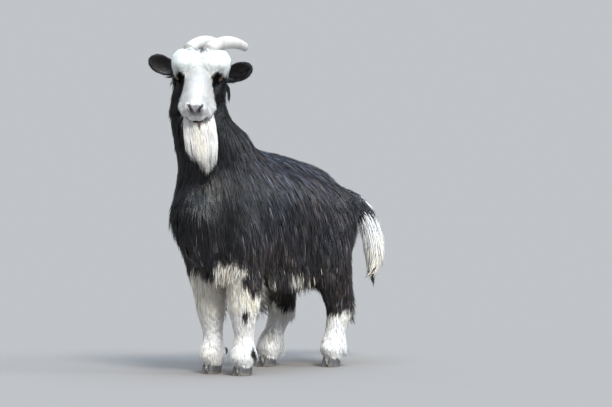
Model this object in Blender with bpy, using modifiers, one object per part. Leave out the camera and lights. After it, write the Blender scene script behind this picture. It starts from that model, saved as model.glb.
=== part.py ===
"""A long-haired mountain goat, standing still, at life size.

The goat faces -Y with its left side on +X, and turns its head a little to its left. All eight claws stand on Z = 0.
Every outline here is that of the coat's tips. The flesh is modelled whole, from lofts along the spine and the limbs,
and is then parted by thin cuts. The forelock is part of the head and the brush is part of the tail. Claws, horns,
eyes and ears are separate pieces set into the flesh, and the beard hangs from the chin as a piece of its own.
"""

import math

import bmesh
import bpy
import numpy as np
from mathutils import Matrix, Vector

# Driving sizes, in metres and degrees
CUT = 0.0006  # width of a cut between two nodes
FIT = 0.0005  # gap round a piece that is set into another
VOXEL = 0.006
FLESH_TRIANGLES = 2030
RING_POINTS = 20

HEAD_TURN = 34.0  # to the goat's left
HEAD_DROP = 48.0  # of the muzzle's axis below the horizon
HEAD_TILT = 2.0  # its left side down
EYES_AT = Vector((0.053, -0.355, 0.897))  # midway between the eyes
EYE_RADIUS = 0.0155
EYE_SIDE = 0.0560
EYE_AHEAD, EYE_UP = 0.006, 0.000

HORN_LENGTH = 0.295
HORN_RISE = 21.0  # at the base
HORN_FALL = 8.0  # below the horizon, at the tip
HORN_WIDTH, HORN_DEPTH = 0.0175, 0.0210  # half sizes at the base
HORN_SIDE = {1: 0.024, -1: 0.034}
HORN_SPLAY = {1: 17.0, -1: -14.0}

EAR_LENGTH, EAR_WIDTH, EAR_WALL = 0.102, 0.058, 0.0050
EAR_SIDE = {1: 0.056, -1: 0.066}
EAR_UP = {1: -0.040, -1: -0.018}
EAR_BACK = {1: 3.0, -1: -13.0}
EAR_LIFT, EAR_CUP = 22.0, 0.85

CLAW_LENGTH, CLAW_WIDTH, CLAW_HEIGHT, CLAW_GAP = 0.060, 0.028, 0.040, 0.0030

SIDES = {1: "left", -1: "right"}
FORE_X, HIND_X = 0.060, 0.085  # middle of a foot
FORE_Y = -0.155
HIND_Y = {1: 0.265, -1: 0.150}
HOCK_BACK = {1: 0.035, -1: 0.085}
HIP_Y = 0.235

BLACK = (0.018, 0.017, 0.019)
WHITE = (0.80, 0.77, 0.70)
HORN_COLOUR = (0.72, 0.69, 0.62)
HOOF_COLOUR = (0.10, 0.10, 0.10)
EYE_COLOUR = (0.30, 0.17, 0.05)


def clear_scene():
    for old in list(bpy.data.objects):
        bpy.data.objects.remove(old, do_unlink=True)


def new_collection(name):
    made = bpy.data.collections.new(name)
    bpy.context.scene.collection.children.link(made)
    return made


def material(name, colour, roughness):
    made = bpy.data.materials.new(name)
    made.use_nodes = True
    shader = made.node_tree.nodes["Principled BSDF"]
    shader.inputs["Base Color"].default_value = (*colour, 1.0)
    shader.inputs["Roughness"].default_value = roughness
    shader.inputs["Metallic"].default_value = 0.0
    return made


clear_scene()
GOAT = new_collection("goat")
HELPERS = new_collection("helpers")
HELPERS.hide_render = True
BLACK_COAT = material("black_coat", BLACK, 0.6)
WHITE_COAT = material("white_coat", WHITE, 0.65)
HORN = material("horn", HORN_COLOUR, 0.45)
HOOF = material("hoof", HOOF_COLOUR, 0.5)
EYE = material("eye", EYE_COLOUR, 0.1)


def object_from(name, mesh, finish, home=GOAT):
    made = bpy.data.objects.new(name, mesh)
    if finish:
        mesh.materials.clear()
        mesh.materials.append(finish)
    home.objects.link(made)
    if home is HELPERS:
        made.hide_render = True
        made.display_type = "WIRE"
    return made


def evaluated_mesh(obj, name):
    """The object's mesh with its modifiers applied, in the goat's own frame."""
    graph = bpy.context.evaluated_depsgraph_get()
    mesh = bpy.data.meshes.new_from_object(obj.evaluated_get(graph), depsgraph=graph)
    mesh.name = name
    mesh.transform(obj.matrix_world)
    return mesh


def between(values, share):
    """A smooth curve through the rows of values, read at share (0 to 1) of the way along."""
    last = len(values) - 1
    place = min(max(share, 0.0), 1.0) * last
    i = min(int(place), last - 1)
    t = place - i
    before, a, b, after = (values[min(max(k, 0), last)] for k in (i - 1, i, i + 1, i + 2))
    return 0.5 * (2 * a + (b - before) * t + (2 * before - 5 * a + 4 * b - after) * t**2
                  + (3 * a - before - 3 * b + after) * t**3)


def loft(stations, side=(1, 0, 0), steps=3, power=2.0, pear=0.0, domes=(1, 1), points=RING_POINTS):
    """A closed mesh through oval sections. A station is (x, y, z, half size along side, half size across it).

    A dome closes each end, round where domes says 1 and flatter below it. A pear above 0 widens the lower half.
    """
    rows = np.array(stations, float)
    count = (len(rows) - 1) * steps + 1
    rings = [between(rows, i / (count - 1)) for i in range(count)]
    centres = np.array([r[:3] for r in rings])
    along = np.gradient(centres, axis=0)
    along /= np.linalg.norm(along, axis=1, keepdims=True)
    sections = [(c, t, r[3], r[4]) for c, t, r in zip(centres, along, rings)]

    def rounded(end, sense, dome):
        """Rings that shrink to a dome, at 1 as high as the section's mean half size."""
        centre, t, wide, deep = end
        height = 0.5 * dome * (wide + deep)
        turns = [math.radians(a) for a in (30, 55, 75)]
        return [(centre + sense * t * height * math.sin(a), t, wide * math.cos(a), deep * math.cos(a))
                for a in turns]

    first, final = rounded(sections[0], -1, domes[0]), rounded(sections[-1], 1, domes[1])
    sections = first[::-1] + sections + final

    mesh = bmesh.new()
    loops = []
    for centre, t, wide, deep in sections:
        across = np.cross(t, np.array(side, float))
        across /= np.linalg.norm(across)
        sideways = np.cross(across, t)
        ring = []
        for k in range(points):
            turn = 2 * math.pi * k / points
            c, s = math.cos(turn), math.sin(turn)
            u = math.copysign(abs(c) ** (2 / power), c) * wide
            v = math.copysign(abs(s) ** (2 / power), s) * deep
            u *= 1 - pear * v / deep
            ring.append(mesh.verts.new(centre + sideways * u + across * v))
        loops.append(ring)
    for lower, upper in zip(loops, loops[1:]):
        for k in range(points):
            n = (k + 1) % points
            mesh.faces.new((lower[k], lower[n], upper[n], upper[k]))
    mesh.faces.new(loops[0][::-1])
    mesh.faces.new(loops[-1])
    bmesh.ops.recalc_face_normals(mesh, faces=mesh.faces)
    return mesh


def ball(centre, radii, turn=Matrix.Identity(4), rings=12):
    mesh = bmesh.new()
    bmesh.ops.create_uvsphere(mesh, u_segments=2 * rings, v_segments=rings, radius=1.0)
    place = Matrix.Translation(centre) @ turn @ Matrix.Diagonal((*radii, 1.0))
    bmesh.ops.transform(mesh, matrix=place, verts=mesh.verts)
    return mesh


def to_mesh(made, name, matrix=Matrix.Identity(4)):
    """A bmesh turned into mesh data, and freed."""
    mesh = bpy.data.meshes.new(name)
    bmesh.ops.triangulate(made, faces=[f for f in made.faces if len(f.verts) > 4])
    made.to_mesh(mesh)
    made.free()
    mesh.transform(matrix)
    return mesh


def joined(meshes, name):
    """Several meshes in one, as separate closed shells."""
    whole = bmesh.new()
    for mesh in meshes:
        whole.from_mesh(mesh)
    made = bpy.data.meshes.new(name)
    whole.to_mesh(made)
    whole.free()
    return made


def swollen(mesh, by, name):
    """The mesh moved outwards along its normals, as a cutter that leaves a gap."""
    made = bmesh.new()
    made.from_mesh(mesh)
    bmesh.ops.recalc_face_normals(made, faces=made.faces)
    made.normal_update()
    shifts = [v.normal * by for v in made.verts]
    for v, shift in zip(made.verts, shifts):
        v.co += shift
    out = bpy.data.meshes.new(name)
    made.to_mesh(out)
    made.free()
    return out


def less(mesh, cutter, name):
    """The mesh with the cutter's space taken away."""
    body = object_from(name, mesh, None, HELPERS)
    tool = object_from(name + "_cutter", cutter, None, HELPERS)
    cut = body.modifiers.new("cut", "BOOLEAN")
    cut.operation = "DIFFERENCE"
    cut.object = tool
    made = evaluated_mesh(body, name)
    bpy.data.objects.remove(body)
    bpy.data.objects.remove(tool)
    return made


def volume(mesh):
    made = bmesh.new()
    made.from_mesh(mesh)
    cubic = abs(made.calc_volume())
    made.free()
    return cubic


def middle(mesh):
    return sum((v.co for v in mesh.vertices), Vector()) / len(mesh.vertices)


def loose_parts(mesh):
    """The mesh's separate shells, largest first."""
    whole = bmesh.new()
    whole.from_mesh(mesh)
    whole.verts.ensure_lookup_table()
    seen, parts = set(), []
    for start in whole.verts:
        if start.index in seen:
            continue
        shell, front = [], [start]
        seen.add(start.index)
        while front:
            v = front.pop()
            shell.append(v)
            for edge in v.link_edges:
                other = edge.other_vert(v)
                if other.index not in seen:
                    seen.add(other.index)
                    front.append(other)
        parts.append(shell)
    made = []
    for shell in parts:
        part = bmesh.new()
        copies = {v: part.verts.new(v.co) for v in shell}
        for face in {f for v in shell for f in v.link_faces}:
            part.faces.new([copies[v] for v in face.verts])
        made.append(to_mesh(part, "part"))
    whole.free()
    return sorted(made, key=volume, reverse=True)


def disc(centre, normal, radius):
    """A thin round cutter that parts whatever it passes right through."""
    made = bmesh.new()
    bmesh.ops.create_cone(made, cap_ends=True, segments=12, radius1=radius, radius2=radius, depth=CUT)
    turn = Vector(normal).to_track_quat("Z", "Y").to_matrix().to_4x4()
    return to_mesh(made, "disc", Matrix.Translation(centre) @ turn)


# The head's own frame, like the goat's: x to its left, -y along the muzzle and z out of the forehead
HEAD = (Matrix.Translation(EYES_AT) @ Matrix.Rotation(math.radians(HEAD_TURN), 4, "Z")
        @ Matrix.Rotation(math.radians(HEAD_TILT), 4, "Y") @ Matrix.Rotation(math.radians(HEAD_DROP), 4, "X"))


def trunk():
    """The barrel, from the breast to the buttocks, narrower along the spine than at the flanks."""
    rows = [(y, half, low, high) for y, half, low, high in (
        (-0.278, 0.100, 0.335, 0.585),
        (-0.235, 0.124, 0.302, 0.655),
        (-0.165, 0.138, 0.288, 0.689),
        (-0.090, 0.143, 0.286, 0.694),
        (0.000, 0.148, 0.272, 0.685),
        (0.100, 0.152, 0.258, 0.668),
        (0.200, 0.153, 0.258, 0.652),
        (0.280, 0.148, 0.285, 0.638),
        (0.335, 0.132, 0.340, 0.618),
        (0.375, 0.104, 0.400, 0.592),
    )]
    stations = [(0, y, (low + high) / 2, half, (high - low) / 2) for y, half, low, high in rows]
    return loft(stations, power=2.15, pear=0.16, domes=(0.8, 0.55))


def neck():
    return loft([
        (0.000, -0.155, 0.430, 0.112, 0.150),
        (0.000, -0.190, 0.540, 0.124, 0.158),
        (0.000, -0.209, 0.640, 0.120, 0.145),
        (0.006, -0.275, 0.725, 0.099, 0.098),
        (0.012, -0.313, 0.805, 0.087, 0.081),
        (0.030, -0.318, 0.880, 0.076, 0.074),
    ])


def head():
    """Skull, cheeks, muzzle and chin in the head's frame, and the forelock's dome over the brow."""
    skull = loft([
        (0, 0.070, -0.004, 0.046, 0.050),
        (0, 0.035, -0.002, 0.062, 0.062),
        (0, 0.000, -0.006, 0.062, 0.062),
        (0, -0.035, -0.014, 0.054, 0.054),
        (0, -0.070, -0.020, 0.046, 0.046),
        (0, -0.098, -0.024, 0.041, 0.042),
        (0, -0.118, -0.026, 0.036, 0.038),
    ], power=2.3, points=16)
    cheeks = [ball((side * 0.040, 0.008, -0.036), (0.038, 0.066, 0.050)) for side in (-1, 1)]
    whiskers = [ball((side * 0.031, -0.086, -0.044), (0.032, 0.040, 0.032)) for side in (-1, 1)]
    lip = ball((0, -0.118, -0.056), (0.030, 0.026, 0.022))
    chin = ball((0, -0.102, -0.082), (0.027, 0.032, 0.025))
    brows = [ball((side * 0.036, -0.004, 0.028), (0.036, 0.034, 0.028)) for side in (-1, 1)]
    locks = [ball((x, 0.026, 0.034), (0.052, 0.050, 0.038)) for x in (-0.033, 0.046)]
    return [skull, *cheeks, *whiskers, lip, chin, *brows, *locks]


def limb(side, stations):
    """A leg's loft, mirrored by side. A station is (x, y, z, half width, half depth)."""
    return loft([(side * x, y, z, wide, deep) for x, y, z, wide, deep in stations], domes=(0.4, 0.4))


def foreleg(side, foot_y):
    return limb(side, [
        (0.080, foot_y - 0.030, 0.500, 0.062, 0.090),
        (0.084, foot_y - 0.030, 0.420, 0.062, 0.088),
        (0.076, foot_y - 0.018, 0.340, 0.056, 0.070),
        (0.069, foot_y - 0.008, 0.275, 0.053, 0.056),
        (0.065, foot_y - 0.006, 0.225, 0.050, 0.050),
        (0.063, foot_y - 0.006, 0.185, 0.043, 0.044),
        (0.062, foot_y - 0.002, 0.145, 0.032, 0.034),
        (0.061, foot_y + 0.002, 0.110, 0.031, 0.034),
        (0.060, foot_y - 0.002, 0.078, 0.037, 0.043),
        (0.060, foot_y - 0.012, 0.045, 0.036, 0.043),
    ])


def hindleg(side, foot_y, bend):
    """The hock lies bend behind the foot."""
    hock = foot_y + bend
    return limb(side, [
        (0.084, HIP_Y + 0.015, 0.540, 0.066, 0.125),
        (0.092, HIP_Y + 0.005, 0.450, 0.068, 0.125),
        (0.094, hock - 0.070, 0.370, 0.062, 0.098),
        (0.093, hock - 0.042, 0.305, 0.056, 0.076),
        (0.091, hock - 0.016, 0.245, 0.050, 0.060),
        (0.090, hock + 0.002, 0.198, 0.040, 0.050),
        (0.089, hock - 0.008 - 0.20 * bend, 0.155, 0.034, 0.040),
        (0.087, foot_y + 0.45 * bend, 0.112, 0.032, 0.037),
        (0.086, foot_y + 0.15 * bend, 0.078, 0.037, 0.043),
        (0.085, foot_y - 0.012, 0.045, 0.036, 0.043),
    ])


def tail():
    return loft([
        (0.000, 0.340, 0.555, 0.030, 0.034),
        (0.012, 0.405, 0.552, 0.025, 0.030),
        (0.034, 0.462, 0.530, 0.026, 0.032),
        (0.056, 0.498, 0.470, 0.034, 0.039),
        (0.070, 0.510, 0.400, 0.040, 0.042),
        (0.076, 0.510, 0.335, 0.034, 0.036),
        (0.076, 0.504, 0.282, 0.018, 0.020),
    ])


def flesh():
    """All the soft parts in one skin."""
    shells = [to_mesh(made, "shell") for made in (trunk(), neck(), tail())]
    shells += [to_mesh(made, "shell", HEAD) for made in head()]
    for side in (-1, 1):
        shells.append(to_mesh(foreleg(side, FORE_Y), "shell"))
        shells.append(to_mesh(hindleg(side, HIND_Y[side], HOCK_BACK[side]), "shell"))
    whole = object_from("whole", joined(shells, "whole"), None, HELPERS)
    remesh = whole.modifiers.new("one_skin", "REMESH")
    remesh.mode = "VOXEL"
    remesh.voxel_size = VOXEL
    soften = whole.modifiers.new("soften", "SMOOTH")
    soften.factor = 0.5
    soften.iterations = 6
    whole.modifiers.new("facets", "TRIANGULATE")
    fewer = whole.modifiers.new("fewer", "DECIMATE")
    fewer.ratio = 1.0
    count = len(evaluated_mesh(whole, "count").polygons)
    fewer.ratio = FLESH_TRIANGLES / count
    made = evaluated_mesh(whole, "flesh")
    bpy.data.objects.remove(whole)
    return made


def claw(side, x, foot_y):
    """One digit's hoof in the foot at x: a horny wedge on a flat sole, with its flat side to the cleft."""
    made = bmesh.new()
    points = 12
    loops = []
    for height, size in ((0.0, 0.97), (0.004, 1.0), (CLAW_HEIGHT, 0.84)):
        ring = []
        for k in range(points):
            turn = 2 * math.pi * k / points
            ahead, out = math.cos(turn), math.sin(turn)
            pointed = 1 - 0.38 * max(ahead, 0) ** 2
            bulge = 0.31 if out < 0 else 0.62
            aside = CLAW_GAP / 2 + CLAW_WIDTH * (0.31 + out * pointed * bulge * size)
            back = foot_y - 0.012 + 0.25 * height - ahead * size * CLAW_LENGTH / 2
            ring.append(made.verts.new((x + side * aside, back, height)))
        loops.append(ring)
    for lower, upper in zip(loops, loops[1:]):
        for k in range(points):
            n = (k + 1) % points
            made.faces.new((lower[k], lower[n], upper[n], upper[k]))
    made.faces.new(loops[0][::-1])
    made.faces.new(loops[-1])
    bmesh.ops.recalc_face_normals(made, faces=made.faces)
    return to_mesh(made, "claw")


def dewclaw(side, x, heel_y):
    made = ball((x + side * 0.015, heel_y + 0.038, 0.066), (0.0085, 0.0100, 0.0130),
                Matrix.Rotation(math.radians(-25), 4, "X"), 4)
    return to_mesh(made, "dewclaw")


def horn(side):
    """A horn that rises from the brow and sweeps back, in a plane that leans out by its splay."""
    base = HEAD @ Vector((side * HORN_SIDE[side], 0.051, 0.053))
    aside = math.radians(90 + HEAD_TURN - side * HORN_SPLAY[side])
    back = Vector((math.cos(aside), math.sin(aside), 0))
    stations = []
    place = base
    steps = 7
    for k in range(steps + 1):
        share = k / steps
        taper = 1 - 0.34 * share**2
        stations.append((*place, HORN_WIDTH * taper, HORN_DEPTH * taper))
        rise = math.radians(HORN_RISE - (HORN_RISE + HORN_FALL) * share)
        place = place + (back * math.cos(rise) + Vector((0, 0, math.sin(rise)))) * (HORN_LENGTH / steps)
    made = loft(stations, side=(-back.y, back.x, 0), steps=1, points=10)
    return to_mesh(made, "horn")


def ear(side):
    """A rounded leaf, cupped to the front, that stands out from the side of the head."""
    made = bmesh.new()
    bmesh.ops.create_grid(made, x_segments=8, y_segments=5, size=0.5)
    for v in made.verts:
        share = v.co.x + 0.5
        tip = math.sqrt(max(1 - max(share - 0.55, 0) ** 2 / 0.455**2, 0.0))
        wide = EAR_WIDTH / 2 * (0.45 + 0.55 * math.sin(min(share / 0.6, 1.0) * math.pi / 2)) * tip
        curl = EAR_CUP * (1 - 0.4 * share)
        turn = 2 * v.co.y * curl
        reach = wide / math.sin(curl)
        v.co = Vector((side * share * EAR_LENGTH, reach * (math.cos(turn) - math.cos(curl)),
                       reach * math.sin(turn)))
    leaf = object_from("leaf", to_mesh(made, "leaf"), None, HELPERS)
    wall = leaf.modifiers.new("wall", "SOLIDIFY")
    wall.thickness = EAR_WALL
    wall.offset = 0
    solid = evaluated_mesh(leaf, "ear")
    bpy.data.objects.remove(leaf)
    solid.transform(Matrix.Translation(HEAD @ Vector((side * EAR_SIDE[side], 0.030, EAR_UP[side])))
                    @ Matrix.Rotation(math.radians(HEAD_TURN + EAR_BACK[side]), 4, "Z")
                    @ Matrix.Rotation(math.radians(HEAD_TILT - side * EAR_LIFT), 4, "Y"))
    return swollen(solid, 0.0, "ear")


def eyeball(side):
    return to_mesh(ball((side * EYE_SIDE, -EYE_AHEAD, EYE_UP), (EYE_RADIUS,) * 3, rings=6), "eye", HEAD)


def beard():
    """The long hair that hangs straight from the chin and jaw."""
    top = HEAD @ Vector((0, -0.062, -0.030))
    drop = Vector((0.05, 0.06, -1.0))
    rows = ((0.000, 0.036, 0.032), (0.045, 0.050, 0.036), (0.095, 0.051, 0.033), (0.145, 0.048, 0.027),
            (0.190, 0.036, 0.019), (0.222, 0.016, 0.010))
    across = (math.cos(math.radians(HEAD_TURN)), math.sin(math.radians(HEAD_TURN)), 0)
    stations = [(*(top + drop * down), wide, deep) for down, wide, deep in rows]
    return to_mesh(loft(stations, side=across, steps=1, points=12), "beard")


def hollow_egg(centre, radii):
    """A cutter with a wall CUT thick, which parts an inside from an outside."""
    egg = object_from("egg", to_mesh(ball(centre, radii, rings=5), "egg"), None, HELPERS)
    wall = egg.modifiers.new("wall", "SOLIDIFY")
    wall.thickness = CUT
    wall.offset = 0
    hollow = evaluated_mesh(egg, "egg_cutter")
    bpy.data.objects.remove(egg)
    return hollow


def joint_cuts():
    """Discs that part the head, the neck, the tail and the lengths of the legs."""
    made = [
        disc((0.030, -0.300, 0.846), (0.26, -0.66, 0.70), 0.150),
        disc((0, -0.205, 0.650), (0, -0.45, 0.89), 0.240),
        disc((0.024, 0.440, 0.535), (0.20, 1.00, -0.12), 0.085),
    ]
    for side in SIDES:
        hind, hock = HIND_Y[side], HIND_Y[side] + HOCK_BACK[side]
        made += [
            disc((side * 0.069, FORE_Y - 0.008, 0.283), (0, 0, 1), 0.078),
            disc((side * 0.063, FORE_Y - 0.006, 0.188), (0, 0, 1), 0.064),
            disc((side * 0.060, FORE_Y, 0.080), (0, 0, 1), 0.062),
            disc((side * 0.091, hock - 0.018, 0.248), (0, 0, 1), 0.078),
            disc((side * 0.090, hock, 0.195), (0, -0.2, 1), 0.070),
            disc((side * 0.086, hind + 0.010, 0.080), (0, -0.2, 1), 0.078),
        ]
    return made


def haunch_cuts():
    """Hollow eggs that part each shoulder and each thigh from the trunk."""
    made = []
    for side in SIDES:
        made.append(hollow_egg((side * 0.120, -0.180, 0.400), (0.112, 0.108, 0.160)))
        made.append(hollow_egg((side * 0.130, HIP_Y + 0.010, 0.400), (0.122, 0.145, 0.185)))
    return made


def seeds():
    """A point inside each part of the flesh, by which its piece is named, and its colour."""
    found = {
        "head": (Vector((0.06, -0.38, 0.88)), WHITE_COAT),
        "neck": (Vector((0.01, -0.24, 0.74)), BLACK_COAT),
        "trunk": (Vector((0, 0.05, 0.48)), BLACK_COAT),
        "tail": (Vector((0.06, 0.48, 0.46)), WHITE_COAT),
    }
    for side, name in SIDES.items():
        fore, hind, hock = FORE_Y, HIND_Y[side], HIND_Y[side] + HOCK_BACK[side]
        found["shoulder_" + name] = (Vector((side * 0.095, -0.185, 0.410)), BLACK_COAT)
        found["thigh_" + name] = (Vector((side * 0.110, HIP_Y, 0.420)), BLACK_COAT)
        found["forearm_" + name] = (Vector((side * 0.067, fore, 0.240)), WHITE_COAT)
        found["fore_cannon_" + name] = (Vector((side * 0.062, fore, 0.140)), WHITE_COAT)
        found["fore_foot_" + name] = (Vector((side * 0.060, fore, 0.050)), WHITE_COAT)
        found["gaskin_" + name] = (Vector((side * 0.091, hock - 0.02, 0.255)), BLACK_COAT)
        found["hind_cannon_" + name] = (Vector((side * 0.088, (hind + hock) / 2, 0.140)), WHITE_COAT)
        found["hind_foot_" + name] = (Vector((side * 0.085, hind, 0.050)), WHITE_COAT)
    return found


def build():
    pieces = {}
    for side, name in SIDES.items():
        pieces["horn_" + name] = (horn(side), HORN)
        pieces["ear_" + name] = (ear(side), BLACK_COAT)
        pieces["eye_" + name] = (eyeball(side), EYE)
        heel = HIND_Y[side] + 0.15 * HOCK_BACK[side]
        for leg, x, foot_y, heel_y in (("fore", side * FORE_X, FORE_Y, FORE_Y),
                                       ("hind", side * HIND_X, HIND_Y[side], heel)):
            for part, facing in (("outer", side), ("inner", -side)):
                end = f"{leg}_{name}_{part}"
                pieces["claw_" + end] = (claw(facing, x, foot_y), HOOF)
                pieces["dewclaw_" + end] = (dewclaw(facing, x, heel_y), HOOF)
    body = flesh()
    for name, (mesh, finish) in pieces.items():
        body = less(body, swollen(mesh, FIT, name + "_room"), "flesh")
    hanging = loose_parts(less(beard(), swollen(body, FIT, "jaw"), "beard"))[0]
    pieces["beard"] = (hanging, WHITE_COAT)
    for cutter in joint_cuts():
        body = less(body, cutter, "flesh")
    barrel, *parts = loose_parts(body)
    for cutter in haunch_cuts():
        barrel = less(barrel, cutter, "barrel")
    parts += loose_parts(barrel)
    for name, (seed, finish) in seeds().items():
        near = min(parts, key=lambda part: (middle(part) - seed).length)
        parts.remove(near)
        pieces[name] = (near, finish)
    corners = [v.co for mesh, finish in pieces.values() for v in mesh.vertices]
    low = Vector([min(c[k] for c in corners) for k in range(3)])
    high = Vector([max(c[k] for c in corners) for k in range(3)])
    to_centre = Matrix.Translation((-(low.x + high.x) / 2, -(low.y + high.y) / 2, 0))
    for name, (mesh, finish) in pieces.items():
        mesh.name = name
        mesh.transform(to_centre)
        mesh.shade_smooth()
        object_from(name, mesh, finish)


build()
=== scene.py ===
"""A long-haired mountain goat, standing still, at life size: its hide, horns, hooves, eyes and coat."""

import math

import bmesh
import bpy
import numpy as np
from mathutils import Matrix, Vector
from mathutils.bvhtree import BVHTree
from mathutils.kdtree import KDTree


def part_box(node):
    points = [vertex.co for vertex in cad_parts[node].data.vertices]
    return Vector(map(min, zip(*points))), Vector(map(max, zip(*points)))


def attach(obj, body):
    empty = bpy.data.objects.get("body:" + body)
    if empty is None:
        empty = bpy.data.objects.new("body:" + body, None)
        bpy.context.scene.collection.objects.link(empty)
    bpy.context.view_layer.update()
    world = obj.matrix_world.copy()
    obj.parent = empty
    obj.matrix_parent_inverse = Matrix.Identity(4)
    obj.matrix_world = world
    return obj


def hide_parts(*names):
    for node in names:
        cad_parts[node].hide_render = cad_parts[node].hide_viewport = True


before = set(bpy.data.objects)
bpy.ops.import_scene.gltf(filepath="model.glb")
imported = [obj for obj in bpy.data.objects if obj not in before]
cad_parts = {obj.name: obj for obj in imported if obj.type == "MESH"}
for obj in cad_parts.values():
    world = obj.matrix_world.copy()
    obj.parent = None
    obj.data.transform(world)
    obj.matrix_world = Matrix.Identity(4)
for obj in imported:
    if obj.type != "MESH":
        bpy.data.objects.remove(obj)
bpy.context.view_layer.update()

# ---- Hide ----------------------------------------------------------------------------------------------------------
# The goat's skin, in one piece from the nose to the coronets and the tip of the tail. It is drawn tight over the
# form, a coat's depth inside the outline of the hair, and is laid in folds round the eyes, nostrils and mouth.

SIDES = {1: "left", -1: "right"}
EYE = {side: sum(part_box("eye_" + name), Vector()) / 2 for side, name in SIDES.items()}
EYE_RADIUS, EYE_SIDE, EYE_AHEAD = 0.0153, 0.056, 0.006
EYE_CENTRE = {side: np.array((side * EYE_SIDE, -EYE_AHEAD, 0.0)) for side in SIDES}
HEAD_TURN, HEAD_DROP, HEAD_TILT = 34.0, 48.0, 2.0
HEAD_AXES = (Matrix.Rotation(math.radians(HEAD_TURN), 4, "Z") @ Matrix.Rotation(math.radians(HEAD_TILT), 4, "Y")
             @ Matrix.Rotation(math.radians(HEAD_DROP), 4, "X"))
HEAD = Matrix.Translation((EYE[1] + EYE[-1]) / 2) @ HEAD_AXES @ Matrix.Translation((0, EYE_AHEAD, 0))
HEAD_OUT, HEAD_BACK = np.array(HEAD), np.array(HEAD.inverted())
HEAD_UP = np.array((0.0, 0.743, 0.669))  # straight up, in the head's frame
HIND_Y = {1: 0.211, -1: 0.096}
HOCK_Y = {1: 0.246, -1: 0.181}
SHORT_COAT = ("head", "ear_left", "ear_right", "eye_left", "eye_right", "horn_left", "horn_right", "beard")


def in_head(points):
    """World points in the head's own frame: x to its left, -y along the muzzle, z out of the forehead."""
    return points @ HEAD_BACK[:3, :3].T + HEAD_BACK[:3, 3]


def out_of_head(points):
    return points @ HEAD_OUT[:3, :3].T + HEAD_OUT[:3, 3]


def unit(vectors):
    return vectors / np.maximum(np.linalg.norm(vectors, axis=-1, keepdims=True), 1e-9)


def ramp(value, low, high):
    """0 at low, 1 at high, and smooth between them."""
    t = np.clip((value - low) / (high - low), 0.0, 1.0)
    return t * t * (3 - 2 * t)


def both_sides(rows):
    """Rows that start with x y z dx dy dz, with a mirrored twin for each that lies off the middle."""
    made = [list(row) for row in rows]
    for row in rows:
        if row[0] > 0.001:
            twin = list(row)
            twin[0], twin[3] = -row[0], -row[3]
            made.append(twin)
    return made


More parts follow.
